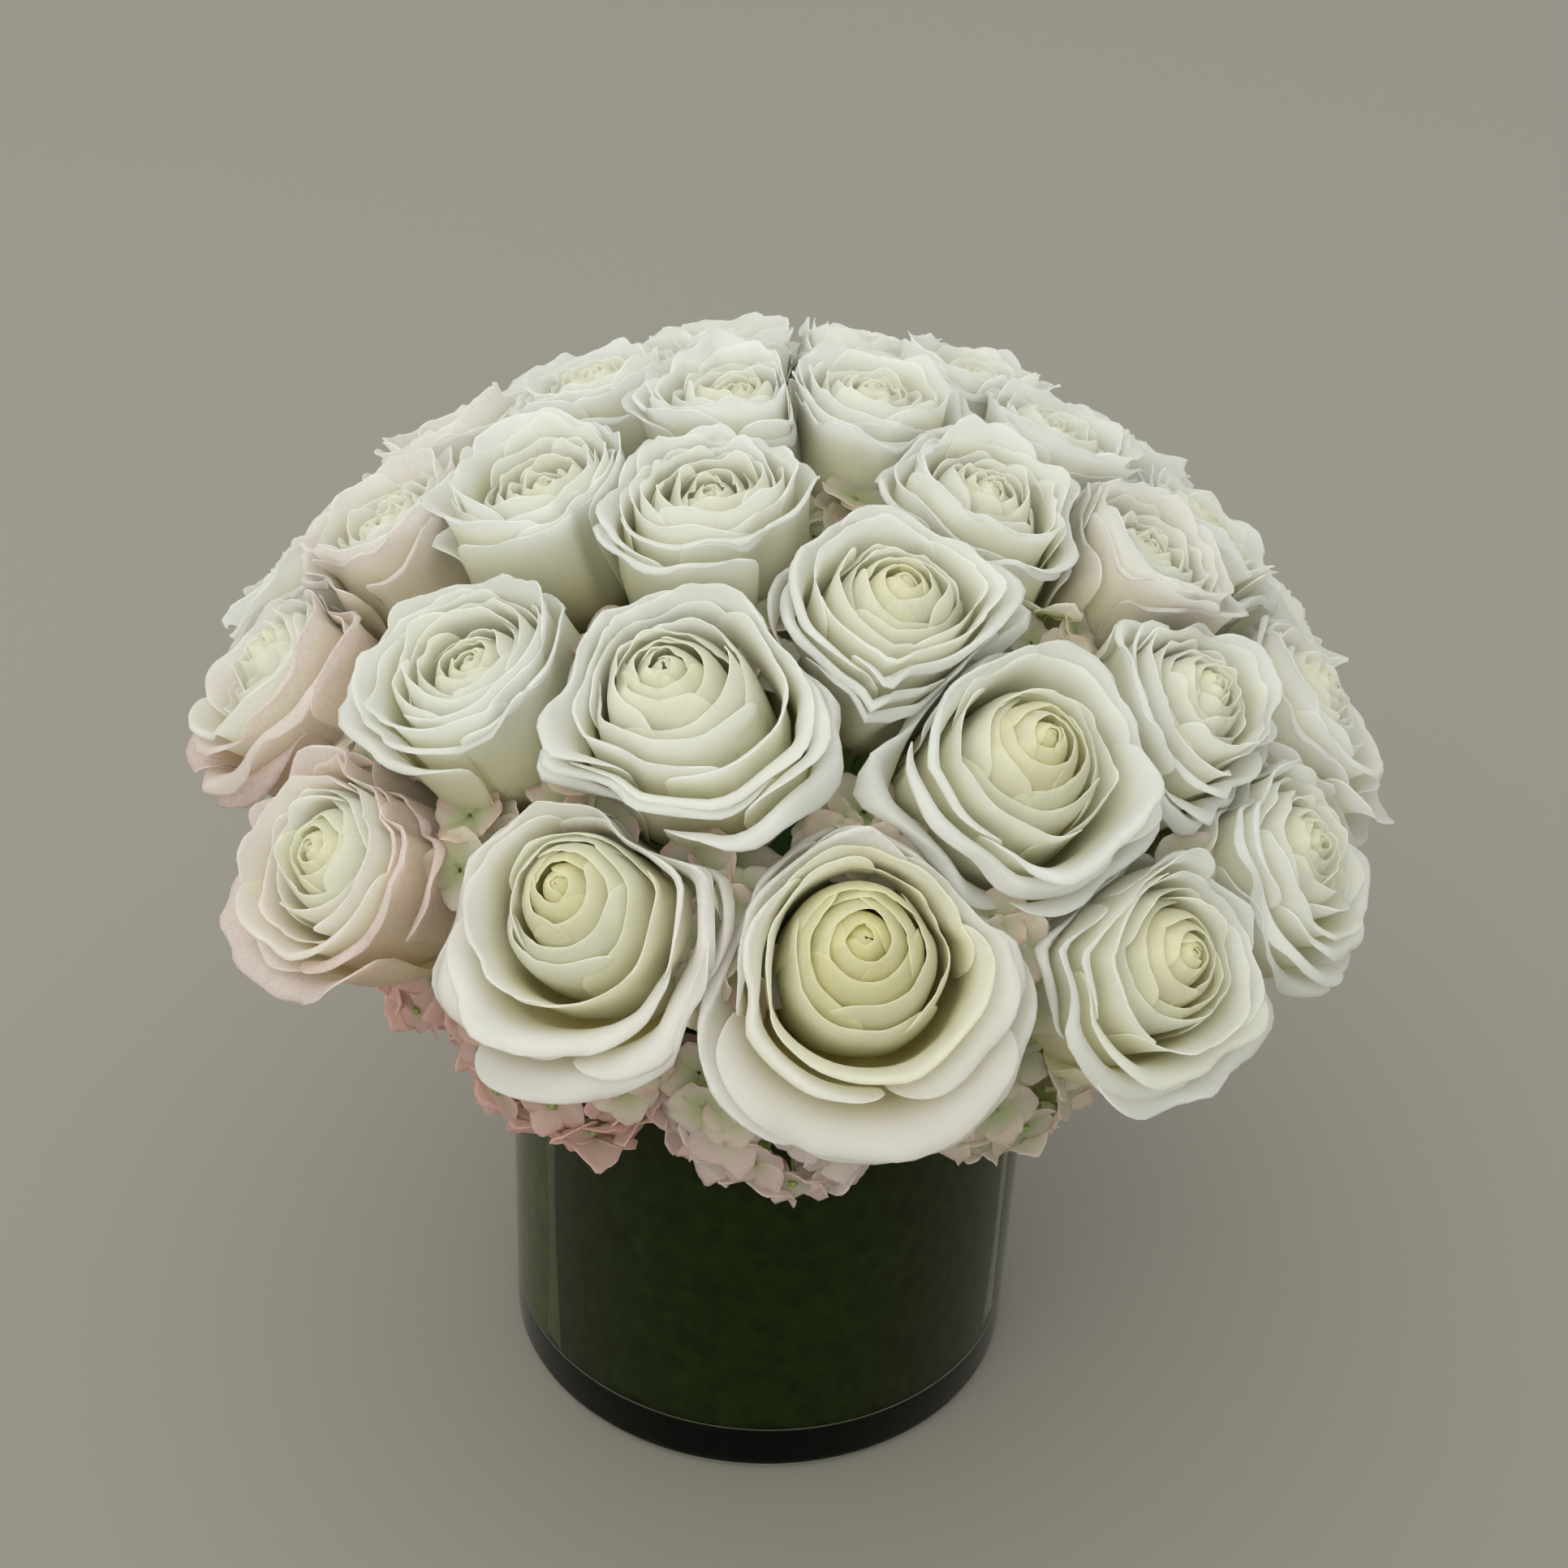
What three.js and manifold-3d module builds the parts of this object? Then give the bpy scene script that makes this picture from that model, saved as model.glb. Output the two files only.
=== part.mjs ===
// A floral table centrepiece: a low dome of white roses over a skirt of hydrangea heads, arranged in wet
// foam inside a glass cylinder that is lined with broad leaves.
//
// Millimetres, +Z up, -Y towards the front. The origin is the middle of the vase's flat underside.
//
// Every rose stem points at one focus inside the vase. A rose's bloom, calyx and stem stay inside a cone of
// flat sides that starts at that focus. The cones of neighbouring roses share a side, so blooms press
// together and never cross.

import * as THREE from 'three';
import Module from 'manifold-3d';
import { mergeVertices } from 'three/addons/utils/BufferGeometryUtils.js';

const wasm = await Module();
wasm.setup();

// ---------------------------------------------------------------- driving dimensions

const GAP = 0.3; // between any two pieces that nearly touch

const VASE = { radius: 75, height: 150, wall: 3, floor: 12, heel: 4, rim: 1, segments: 36 };

const LINING = {
  bottom: VASE.floor + VASE.heel + 0.5, // stands on the curve where the glass wall meets its floor
  top: VASE.height - 3,
  outerStart: 71.2, // the radius of the edge that shows, just inside the glass
  outerEnd: 69.8, // the radius of the edge that tucks under the next leaf
  thickness: 0.7,
  span: 136, // degrees that one leaf covers
  columns: 12,
  rows: 3,
  bow: 3.5, // degrees by which its side edges bulge halfway up
  firstEdge: -54, // degrees from the front, where a leaf's edge shows on the left of the photograph
};

const FOAM = { radius: 66, bottom: VASE.floor + 0.6, shoulder: 150, top: 182, segments: 12 };

const FOCUS = new THREE.Vector3(0, 0, 128); // where all rose stems point
const DOME_RADIUS = 180; // from the focus to the top of each bud
const BLOOM_HEIGHT = 52; // from calyx to the top of the bud, on a rose of MEAN_ROSE across
const MEAN_ROSE = 60;
const PRESS = 1.42; // how much wider a bloom would open without its neighbours
const PETAL = { overlap: 0.08, reach: 0.04, rise: 0.015 }; // shares by which each petal laps, and may differ
const STEM = { radius: 2.5, sides: 4, clearance: 0.35, shortest: 22 };
const SKIRT_EDGE = 19; // elevation, in degrees from the focus, below which only hydrangea grows
const RIM_LOBES = [5, 5, 3]; // petals in the outer, second and third layers of a rose

const HYDRANGEA = {
  heads: 10,
  first: 2, // degrees from the front to the middle of the first head
  centreRadius: 90, // from the vase's axis to the middle of a head's core
  centreZ: 150.5,
  core: [24, 13, 17], // half sizes of the core: along the rim, outwards and upwards
  shell: [27, 20, 25], // half sizes of the surface that the florets stand on
  floret: 9.8,
  dish: 2.4, // how deep a floret's middle lies below its petal tips
  pedicel: 0.9,
  rootDepth: 0.7, // the share of the way to the core's middle that a pedicel reaches
  stray: 3, // degrees by which a floret may stand off its place
  vary: 0.06, // the share by which a floret may be larger or smaller
  stemZ: 154, // just over the vase's rim
  stemInner: 57,
};

// ---------------------------------------------------------------- the roses

// Each row: number, degrees round from the front (positive to the right), degrees up from the focus,
// diameter of the open bloom, how open it is (0 a bud, 1 full), and the degrees by which its face looks up
// and looks right of its stem's line.
const ROSES = [
  // the lowest ring, from the left of the front to the right, then round the back
  [6, -73, 37, 66, 0.7, 6, -5],
  [1, -45, 30.5, 62, 0.55, 7, -5],
  [2, -17, 34, 70, 0.8, 8, -5],
  [3, 8.5, 31.5, 74, 0.85, 12, -3],
  [4, 36, 27.5, 66, 0.7, 10, 4],
  [5, 58, 30, 60, 0.6, 8, 5],
  [12, 80, 35, 64, 0.7, 8, 4],
  [19, 104, 33, 62, 0.6, 8, 0],
  [29, 129, 31, 62, 0.7, 10, 4],
  [30, 154, 33, 62, 0.7, 8, -4],
  [31, 179, 30, 66, 0.8, 12, 0],
  [32, -155, 33, 62, 0.7, 9, 3],
  [33, -127, 34, 64, 0.7, 8, -3],
  [28, -99, 36, 62, 0.6, 6, 0],
  // the middle ring
  [13, -81, 51, 56, 0.4, 4, -3],
  [7, -41, 47.5, 60, 0.45, -5, -7],
  [8, -12, 51, 72, 0.7, 6, -4],
  [10, 29, 46.5, 74, 1, 4, 2],
  [11, 56, 46, 58, 0.6, 4, 2],
  [18, 93, 51, 56, 0.5, 5, 0],
  [34, 120, 52, 58, 0.6, 6, 3],
  [35, 146, 52, 58, 0.7, 5, 0],
  [36, 172, 50, 60, 0.7, 7, -3],
  [37, -162, 52, 58, 0.6, 6, 3],
  [38, -134, 54, 58, 0.6, 5, 0],
  [20, -107, 55, 54, 0.5, 4, -3],
  // the upper ring
  [14, -61, 64, 56, 0.3, 4, -3],
  [15, -23, 70.5, 54, 0.3, 4, 0],
  [9, 17, 61.5, 62, 0.6, 5, 2],
  [16, 50, 69.5, 56, 0.6, 2, 0],
  [17, 71, 57, 56, 0.4, 4, 3],
  [25, 97, 67, 52, 0.4, 3, 0],
  [24, 130, 70, 52, 0.4, 3, 0],
  [27, 166, 69, 54, 0.6, 4, 0],
  [26, -158, 70, 54, 0.5, 3, 0],
  [21, -112, 70, 54, 0.5, 2, 0],
  // the crown
  [22, -70, 84, 52, 0.4, 0, 0],
  [23, 78, 84, 56, 0.7, 0, 0],
].map(([number, azimuth, elevation, diameter, open, lookUp, lookRight]) => ({
  number,
  azimuth,
  elevation,
  diameter,
  open,
  lookUp,
  lookRight,
}));

// ---------------------------------------------------------------- colours

const paint = (color, roughness) => new THREE.MeshStandardMaterial({ color, roughness, metalness: 0 });
const MATERIALS = {
  glass: new THREE.MeshStandardMaterial({
    color: '#dfe7e0',
    roughness: 0.03,
    metalness: 0,
    transparent: true,
    opacity: 0.3,
  }),
  lining: paint('#2a3616', 0.5),
  foam: paint('#3c5a34', 0.95),
  white: paint('#efeadb', 0.6),
  blush: paint('#ecd9cf', 0.6),
  hydrangeaPink: paint('#ecc9ba', 0.7),
  hydrangeaWhite: paint('#ecdfd4', 0.7),
  hydrangeaGreen: paint('#dfe2c6', 0.7),
};
const BLUSH_ROSES = [1, 2, 6]; // whose outer petals are tinged with pink, at the front left

// ---------------------------------------------------------------- small helpers

const UP = new THREE.Vector3(0, 0, 1);
const radians = THREE.MathUtils.degToRad;

function direction(azimuth, elevation) {
  const turn = radians(azimuth);
  const rise = radians(elevation);
  return new THREE.Vector3(Math.sin(turn) * Math.cos(rise), -Math.cos(turn) * Math.cos(rise), Math.sin(rise));
}

// A repeatable random number between -1 and 1, from a seed that moves on at each call.
function drawer(seed) {
  let state = seed * 7919 + 17;
  return () => {
    state = (state * 1664525 + 1013904223) % 4294967296;
    return (state / 4294967296) * 2 - 1;
  };
}

// Joins a ring of points to the next with a band of triangles, always stepping along the ring that lags
// behind. A ring is a list of { at, point }, with at rising from 0 towards 1 once round. A pole is a ring of
// one point.
function bandBetween(lower, upper, triangles) {
  const stepOn = (ring, i) => (i + 1 < ring.length ? ring[i + 1].at : ring[0].at + 1);
  const lowerSteps = lower.length > 1 ? lower.length : 0;
  const upperSteps = upper.length > 1 ? upper.length : 0;
  let i = 0;
  let j = 0;
  while (i < lowerSteps || j < upperSteps) {
    const a = lower[i % lower.length].point;
    const b = upper[j % upper.length].point;
    const takeLower = j >= upperSteps || (i < lowerSteps && stepOn(lower, i) <= stepOn(upper, j));
    if (takeLower) {
      triangles.push(a, lower[(i + 1) % lower.length].point, b);
      i += 1;
    } else {
      triangles.push(a, upper[(j + 1) % upper.length].point, b);
      j += 1;
    }
  }
}

// A closed surface through a list of rings, from a pole at its root to a pole at its tip.
function ringedSurface(rings) {
  const triangles = [];
  for (let k = 0; k + 1 < rings.length; k += 1) bandBetween(rings[k], rings[k + 1], triangles);
  return new THREE.BufferGeometry().setFromPoints(triangles);
}

function toSolid(geometry) {
  const bare = new THREE.BufferGeometry();
  bare.setAttribute('position', geometry.getAttribute('position').clone());
  if (geometry.index) bare.setIndex(geometry.index);
  const merged = mergeVertices(bare, 1e-4);
  return new wasm.Manifold(
    new wasm.Mesh({
      numProp: 3,
      vertProperties: new Float32Array(merged.attributes.position.array),
      triVerts: new Uint32Array(merged.index.array),
    }),
  );
}

function fromSolid(solid) {
  const mesh = solid.getMesh();
  const geometry = new THREE.BufferGeometry();
  geometry.setAttribute('position', new THREE.BufferAttribute(mesh.vertProperties, 3));
  geometry.setIndex(new THREE.BufferAttribute(mesh.triVerts, 1));
  return geometry;
}

// ---------------------------------------------------------------- the vase and its lining

function vaseGeometry() {
  const { radius, height, wall, floor, heel, rim, segments } = VASE;
  const inner = radius - wall;
  const corner = 0.3; // how far up the heel's curve its middle point lies
  const profile = [
    [0, 0],
    [radius - heel, 0],
    [radius - heel * corner, heel * corner],
    [radius, heel],
    [radius, height - rim],
    [radius - rim, height],
    [inner + rim, height],
    [inner, height - rim],
    [inner, floor + heel],
    [inner - heel, floor],
    [0, floor],
  ].map(([r, z]) => new THREE.Vector2(r, z));
  return new THREE.LatheGeometry(profile, segments).rotateX(Math.PI / 2);
}

// One broad leaf pressed against the inside of the glass, as a curved sheet with bowed side edges.
function liningGeometry(startAzimuth) {
  const { bottom, top, outerStart, outerEnd, thickness, span, columns, rows, bow } = LINING;
  const pointAt = (u, v, depth) => {
    const bulge = bow * Math.sin(Math.PI * v) * (2 * u - 1);
    const azimuth = radians(startAzimuth + span * u + bulge);
    const radius = THREE.MathUtils.lerp(outerStart, outerEnd, u) - depth;
    return new THREE.Vector3(
      Math.sin(azimuth) * radius,
      -Math.cos(azimuth) * radius,
      THREE.MathUtils.lerp(bottom, top, v),
    );
  };
  // Each row of the sheet is a flat loop: along the outer face, then back along the inner one.
  const loops = [];
  for (let row = 0; row <= rows; row += 1) {
    const loop = [];
    for (let i = 0; i <= columns; i += 1) loop.push(pointAt(i / columns, row / rows, 0));
    for (let i = columns; i >= 0; i -= 1) loop.push(pointAt(i / columns, row / rows, thickness));
    loops.push(loop);
  }
  const triangles = [];
  const count = loops[0].length;
  for (let row = 0; row < rows; row += 1) {
    for (let i = 0; i < count; i += 1) {
      const next = (i + 1) % count;
      triangles.push(loops[row][i], loops[row][next], loops[row + 1][next]);
      triangles.push(loops[row][i], loops[row + 1][next], loops[row + 1][i]);
    }
  }
  const edgeFace = (loop, flip) => {
    for (let i = 0; i < columns; i += 1) {
      const [a, b, c, d] = [loop[i], loop[i + 1], loop[count - 2 - i], loop[count - 1 - i]];
      triangles.push(...(flip ? [a, c, b, a, d, c] : [a, b, c, a, c, d]));
    }
  };
  edgeFace(loops[0], true);
  edgeFace(loops[rows], false);
  return new THREE.BufferGeometry().setFromPoints(triangles);
}

// ---------------------------------------------------------------- the roses' cones

for (const rose of ROSES) {
  rose.direction = direction(rose.azimuth, rose.elevation);
  rose.spread = Math.asin(rose.diameter / 2 / DOME_RADIUS);
}

// The flat sides of a rose's cone, as inward normals through the focus. A side that two roses share lies
// nearer the smaller one.
function coneSides(rose) {
  const weighted = (other) => other.direction.clone().divideScalar(Math.cos(other.spread));
  const sides = ROSES.filter((other) => other !== rose).map((other) =>
    weighted(rose).sub(weighted(other)).normalize(),
  );
  const outward = direction(rose.azimuth, 0);
  const edge = radians(SKIRT_EDGE);
  sides.push(UP.clone().multiplyScalar(Math.cos(edge)).addScaledVector(outward, -Math.sin(edge)));
  return sides;
}

// How far from a centre, up to reach, a point may go along a heading before it leaves the cone.
function reachInside(sides, centre, heading, reach) {
  const fromFocus = centre.clone().sub(FOCUS);
  let allowed = reach;
  for (const side of sides) {
    const closing = -side.dot(heading);
    if (closing > 0) allowed = Math.min(allowed, (side.dot(fromFocus) - GAP / 2) / closing);
  }
  return allowed;
}

// ---------------------------------------------------------------- one rose

// The distance from the focus at which a stem is still clear of its neighbours.
function stemEnd(rose, sides) {
  const narrowest = Math.min(...sides.map((side) => side.dot(rose.direction)));
  return Math.max(STEM.shortest, (STEM.radius + STEM.clearance + GAP) / narrowest);
}

function frameAbout(axis) {
  const across = new THREE.Vector3().crossVectors(UP, axis);
  if (across.length() < 1e-3) across.set(1, 0, 0);
  across.normalize();
  const upward = new THREE.Vector3().crossVectors(axis, across).normalize();
  return { axis, across, upward };
}

function stemRing(rose, distance, radius) {
  const { axis, across, upward } = frameAbout(rose.direction);
  const ring = [];
  for (let i = 0; i < STEM.sides; i += 1) {
    const angle = (i / STEM.sides) * 2 * Math.PI;
    const point = FOCUS.clone().addScaledVector(axis, distance);
    point.addScaledVector(across, Math.cos(angle) * radius);
    point.addScaledVector(upward, Math.sin(angle) * radius);
    ring.push({ at: i / STEM.sides, point });
  }
  return ring;
}

// The rings of a bloom, from the calyx up the outside and then down and up over each layer of petals.
// radius and height are shares of the bloom's own. A lobed ring dips in between its petals.
function bloomRings(open) {
  const [outer, second, third] = RIM_LOBES;
  const rimHeight = 0.95 - 0.25 * open;
  const flare = 0.86 + 0.14 * open;
  return [
    { samples: 10, radius: 0.2, height: 0.04, lobes: outer, dip: 0.25, drop: 0 },
    { samples: 15, radius: 0.7, height: 0.26, lobes: outer, dip: 0.1, drop: 0 },
    { samples: 20, radius: flare, height: rimHeight, lobes: outer, dip: 0.14, drop: 0.05 },
    { samples: 15, radius: 0.68, height: rimHeight - 0.1, lobes: 0, dip: 0, drop: 0 },
    { samples: 15, radius: 0.7, height: 0.92 - 0.06 * open, lobes: second, dip: 0.12, drop: 0.03 },
    { samples: 9, radius: 0.5, height: 0.7 - 0.06 * open, lobes: 0, dip: 0, drop: 0 },
    { samples: 9, radius: 0.46, height: 0.97 - 0.03 * open, lobes: third, dip: 0.12, drop: 0.02 },
    { samples: 6, radius: 0.28, height: 0.78, lobes: 0, dip: 0, drop: 0 },
    { samples: 7, radius: 0.24, height: 0.98, lobes: 1, dip: 0.2, drop: 0.02 },
    { samples: 3, radius: 0.08, height: 0.88, lobes: 0, dip: 0, drop: 0 },
  ];
}

function roseGeometry(rose) {
  const sides = coneSides(rose);
  const draw = drawer(rose.number);
  const scale = rose.diameter / MEAN_ROSE;
  const height = BLOOM_HEIGHT * (0.5 + 0.5 * scale);
  const baseDistance = DOME_RADIUS - height;
  const base = FOCUS.clone().addScaledVector(rose.direction, baseDistance);

  // The bloom looks a little up and to one side of the line of its stem.
  const looked = direction(rose.azimuth + rose.lookRight, Math.min(90, rose.elevation + rose.lookUp));
  const { axis, across, upward } = frameAbout(looked);
  const fullRadius = (rose.diameter / 2) * PRESS;
  const rings = bloomRings(rose.open);

  const centreAt = (share) => base.clone().addScaledVector(axis, share * height);
  const headingAt = (angle) =>
    across.clone().multiplyScalar(Math.cos(angle)).addScaledVector(upward, Math.sin(angle));
  // One factor for all rings at an angle keeps the layers in order where the cone pinches them.
  const squeeze = (angle) =>
    Math.min(
      ...rings.map(({ radius, height: share }) => {
        const reach = radius * fullRadius * (1 + PETAL.reach);
        return reachInside(sides, centreAt(share), headingAt(angle), reach) / reach;
      }),
    );

  const turned = draw() * Math.PI;
  const layers = rings.map((ring, layer) => {
    const offset = ring.lobes ? turned + (layer * Math.PI) / 5 : turned;
    const petalReach = Array.from({ length: ring.lobes || 1 }, () => 1 + PETAL.reach * draw());
    const petalRise = Array.from({ length: ring.lobes || 1 }, () => PETAL.rise * draw());
    const points = [];
    for (let i = 0; i < ring.samples; i += 1) {
      const at = i / ring.samples;
      const angle = offset + at * 2 * Math.PI;
      const petal = ring.lobes ? Math.floor(at * ring.lobes + 1e-9) : 0;
      const along = ring.lobes ? at * ring.lobes - petal : 0.5; // 0 at one edge of the petal, 1 at the other
      const edge = (2 * along - 1) ** 4;
      const overlap = ring.lobes ? -PETAL.overlap * along : 0;
      const radiusShare = ring.radius * (1 - ring.dip * edge + overlap) * petalReach[petal];
      const heightShare = ring.height - ring.drop * (1 - edge) + petalRise[petal];
      const reach = radiusShare * fullRadius * Math.min(1, squeeze(angle));
      const point = centreAt(heightShare).addScaledVector(headingAt(angle), reach);
      points.push({ at: (((angle / (2 * Math.PI)) % 1) + 1) % 1, point });
    }
    return points.sort((a, b) => a.at - b.at);
  });

  const end = stemEnd(rose, sides);
  const pole = (point) => [{ at: 0, point }];
  const root = pole(FOCUS.clone().addScaledVector(rose.direction, end));
  const tip = pole(centreAt(0.93));
  return ringedSurface([
    root,
    stemRing(rose, end, STEM.radius),
    stemRing(rose, baseDistance - 3, STEM.radius),
    ...layers,
    tip,
  ]);
}

// ---------------------------------------------------------------- the hydrangea skirt

// A closed low ball stretched to three half sizes, in a frame whose +Y points away from the vase.
function coreGeometry() {
  const [along, out, rise] = HYDRANGEA.core;
  return new THREE.IcosahedronGeometry(1, 0).scale(along, out, rise);
}

// One floret of four broad petals on a thin pedicel, its face towards +Z and its root at minus depth.
function floretGeometry(size, depth) {
  const pole = (z) => [{ at: 0, point: new THREE.Vector3(0, 0, z) }];
  const petals = 4;
  const outline = [];
  for (let i = 0; i < petals; i += 1) {
    for (const [step, reach, rise] of [
      [0, 0.5, -0.3],
      [0.3, 1, 0],
      [0.72, 0.97, 0.35],
    ]) {
      const at = (i + step) / petals;
      const angle = at * 2 * Math.PI;
      const point = new THREE.Vector3(Math.cos(angle), Math.sin(angle), 0).multiplyScalar(reach * size);
      point.z = rise * HYDRANGEA.dish;
      outline.push({ at, point });
    }
  }
  const thread = (z) =>
    [0, 1, 2].map((i) => {
      const at = i / 3;
      const angle = at * 2 * Math.PI;
      const { pedicel } = HYDRANGEA;
      return { at, point: new THREE.Vector3(Math.cos(angle) * pedicel, Math.sin(angle) * pedicel, z) };
    });
  const throat = -HYDRANGEA.dish;
  return ringedSurface([pole(-depth), thread(-depth), thread(2 * throat), outline, pole(throat)]);
}

// The florets of one head: how far each stands round to the side and up, in degrees from straight outwards.
const FLORET_PLACES = [
  [-50, 46],
  [0, 38],
  [50, 46],
  [-60, 6],
  [0, 0],
  [60, 6],
  [-30, -46],
  [30, -46],
];

function headGeometry(index) {
  const draw = drawer(100 + index);
  const azimuth = HYDRANGEA.first + (360 / HYDRANGEA.heads) * index;
  const outward = direction(azimuth, 0);
  const along = new THREE.Vector3().crossVectors(outward, UP).normalize();
  const centre = outward.clone().multiplyScalar(HYDRANGEA.centreRadius).setZ(HYDRANGEA.centreZ);
  const placing = new THREE.Matrix4().makeBasis(along, outward, UP).setPosition(centre);

  let head = toSolid(coreGeometry().applyMatrix4(placing));
  const [shellAlong, shellOut, shellRise] = HYDRANGEA.shell;
  for (const [side, rise] of FLORET_PLACES) {
    const turn = radians(side + HYDRANGEA.stray * draw());
    const lift = radians(rise + HYDRANGEA.stray * draw());
    const seat = new THREE.Vector3(
      Math.sin(turn) * Math.cos(lift) * shellAlong,
      Math.cos(turn) * Math.cos(lift) * shellOut,
      Math.sin(lift) * shellRise,
    );
    const size = HYDRANGEA.floret * (1 + HYDRANGEA.vary * draw());
    const floret = floretGeometry(size, seat.length() * HYDRANGEA.rootDepth);
    floret.rotateZ(draw() * Math.PI);
    const toward = new THREE.Quaternion().setFromUnitVectors(UP, seat.clone().normalize());
    const set = new THREE.Matrix4().compose(seat, toward, new THREE.Vector3(1, 1, 1));
    head = head.add(toSolid(floret.applyMatrix4(set).applyMatrix4(placing)));
  }
  return fromSolid(head.add(toSolid(headStem(outward, HYDRANGEA.stemInner, STEM.radius))));
}

// The short woody stem of a head, level over the vase's rim and into the foam.
function headStem(outward, innerDistance, radius) {
  const length = HYDRANGEA.centreRadius - innerDistance;
  const stem = new THREE.CylinderGeometry(radius, radius, length, STEM.sides);
  const middle = outward.clone().multiplyScalar(innerDistance + length / 2).setZ(HYDRANGEA.stemZ);
  const turned = new THREE.Quaternion().setFromUnitVectors(new THREE.Vector3(0, 1, 0), outward);
  return stem.applyMatrix4(new THREE.Matrix4().compose(middle, turned, new THREE.Vector3(1, 1, 1)));
}

// ---------------------------------------------------------------- the foam

function foamGeometry() {
  const { radius, bottom, shoulder, top, segments } = FOAM;
  const profile = [
    [0, bottom],
    [radius, bottom],
    [radius, shoulder],
    [radius * 0.7, shoulder + (top - shoulder) * 0.8],
    [0, top],
  ].map(([r, z]) => new THREE.Vector2(r, z));
  let foam = toSolid(new THREE.LatheGeometry(profile, segments).rotateX(Math.PI / 2));
  const holeRadius = STEM.radius + STEM.clearance;
  for (const rose of ROSES) {
    const end = stemEnd(rose, coneSides(rose)) - GAP;
    const pole = (distance) => [{ at: 0, point: FOCUS.clone().addScaledVector(rose.direction, distance) }];
    const hole = [
      pole(end),
      stemRing(rose, end, holeRadius),
      stemRing(rose, FOAM.radius * 2, holeRadius),
      pole(FOAM.radius * 2),
    ];
    foam = foam.subtract(toSolid(ringedSurface(hole)));
  }
  for (let i = 0; i < HYDRANGEA.heads; i += 1) {
    const outward = direction(HYDRANGEA.first + (360 / HYDRANGEA.heads) * i, 0);
    foam = foam.subtract(toSolid(headStem(outward, HYDRANGEA.stemInner - GAP, holeRadius)));
  }
  return fromSolid(foam);
}

// ---------------------------------------------------------------- the whole arrangement

const centrepiece = new THREE.Group();

function place(name, geometry, material) {
  const mesh = new THREE.Mesh(geometry, material);
  mesh.name = name;
  centrepiece.add(mesh);
}

const numbered = (word, number) => `${word}_${String(number).padStart(2, '0')}`;

place('vase', vaseGeometry(), MATERIALS.glass.clone());
for (let i = 0; i < 3; i += 1) {
  place(numbered('lining_leaf', i + 1), liningGeometry(LINING.firstEdge + 120 * i), MATERIALS.lining.clone());
}
place('foam', foamGeometry(), MATERIALS.foam.clone());
for (const rose of ROSES) {
  const material = BLUSH_ROSES.includes(rose.number) ? MATERIALS.blush : MATERIALS.white;
  place(numbered('rose', rose.number), roseGeometry(rose), material.clone());
}
// Counted from the front to the right: pinkish white, two greenish, white round the back, pink at the left.
const HEAD_COLOURS = ['White', 'Green', 'Green', 'White', 'White', 'Green', 'White', 'White', 'Pink', 'Pink'];
HEAD_COLOURS.forEach((colour, i) => {
  place(numbered('hydrangea', i + 1), headGeometry(i), MATERIALS[`hydrangea${colour}`].clone());
});

export default centrepiece;
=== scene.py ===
# %% [markdown]
# A florist's centrepiece: white roses pressed into a dome over a skirt of hydrangea, in wet foam inside a
# glass cylinder that is lined with broad leaves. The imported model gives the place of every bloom, and this
# lesson builds the real petals, leaves and glass over it. Sizes are in millimetres until a mesh is made.

# %% Load the frame
import math

import bpy
import numpy as np
from mathutils import Matrix, Vector


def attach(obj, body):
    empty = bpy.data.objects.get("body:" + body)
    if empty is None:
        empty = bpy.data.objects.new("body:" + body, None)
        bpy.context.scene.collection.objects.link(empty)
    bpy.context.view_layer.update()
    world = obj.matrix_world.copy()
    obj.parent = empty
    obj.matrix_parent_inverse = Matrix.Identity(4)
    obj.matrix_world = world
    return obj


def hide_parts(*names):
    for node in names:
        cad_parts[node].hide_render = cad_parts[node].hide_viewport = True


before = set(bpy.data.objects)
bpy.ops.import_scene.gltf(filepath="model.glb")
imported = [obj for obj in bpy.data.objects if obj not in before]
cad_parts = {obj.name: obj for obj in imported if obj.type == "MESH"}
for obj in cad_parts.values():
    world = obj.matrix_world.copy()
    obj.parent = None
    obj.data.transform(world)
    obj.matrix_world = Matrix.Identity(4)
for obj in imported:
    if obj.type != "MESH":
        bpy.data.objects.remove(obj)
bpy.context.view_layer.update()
MM = 0.001
UP = np.array([0.0, 0.0, 1.0])

# %% [markdown]
# The photograph looks down on the dome from standing height, close enough for the vase to narrow towards
# its foot. The camera comes first, because everything after it is judged through it. Its place, pitch and
# slight tilt were fitted to the vase's sides and to the heights of the blooms.

# %% Camera
CAMERA_DISTANCE = 533.3
CAMERA_HEIGHT = 499.9
CAMERA_PITCH = math.radians(30.66)
CAMERA_TILT = math.radians(2.87)
SENSOR_WIDTH = 36.0
LENS = 52.17


def place_camera():
    ahead = Vector((0.0, math.cos(CAMERA_PITCH), -math.sin(CAMERA_PITCH)))
    level = ahead.cross(Vector(UP)).normalized()
    above = level.cross(ahead)
    right = level * math.cos(CAMERA_TILT) + above * math.sin(CAMERA_TILT)
    top = above * math.cos(CAMERA_TILT) - level * math.sin(CAMERA_TILT)
    data = bpy.data.cameras.new("camera")
    data.sensor_width = SENSOR_WIDTH
    data.lens = LENS
    camera = bpy.data.objects.new("camera", data)
    turn = Matrix((right, top, -ahead)).transposed().to_4x4()
    camera.matrix_world = Matrix.Translation(Vector((0.0, -CAMERA_DISTANCE, CAMERA_HEIGHT)) * MM) @ turn
    bpy.context.scene.collection.objects.link(camera)
    bpy.context.scene.camera = camera
    return camera


camera = place_camera()
print(camera.name, "looks down by", round(math.degrees(CAMERA_PITCH), 1), "degrees")

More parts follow.
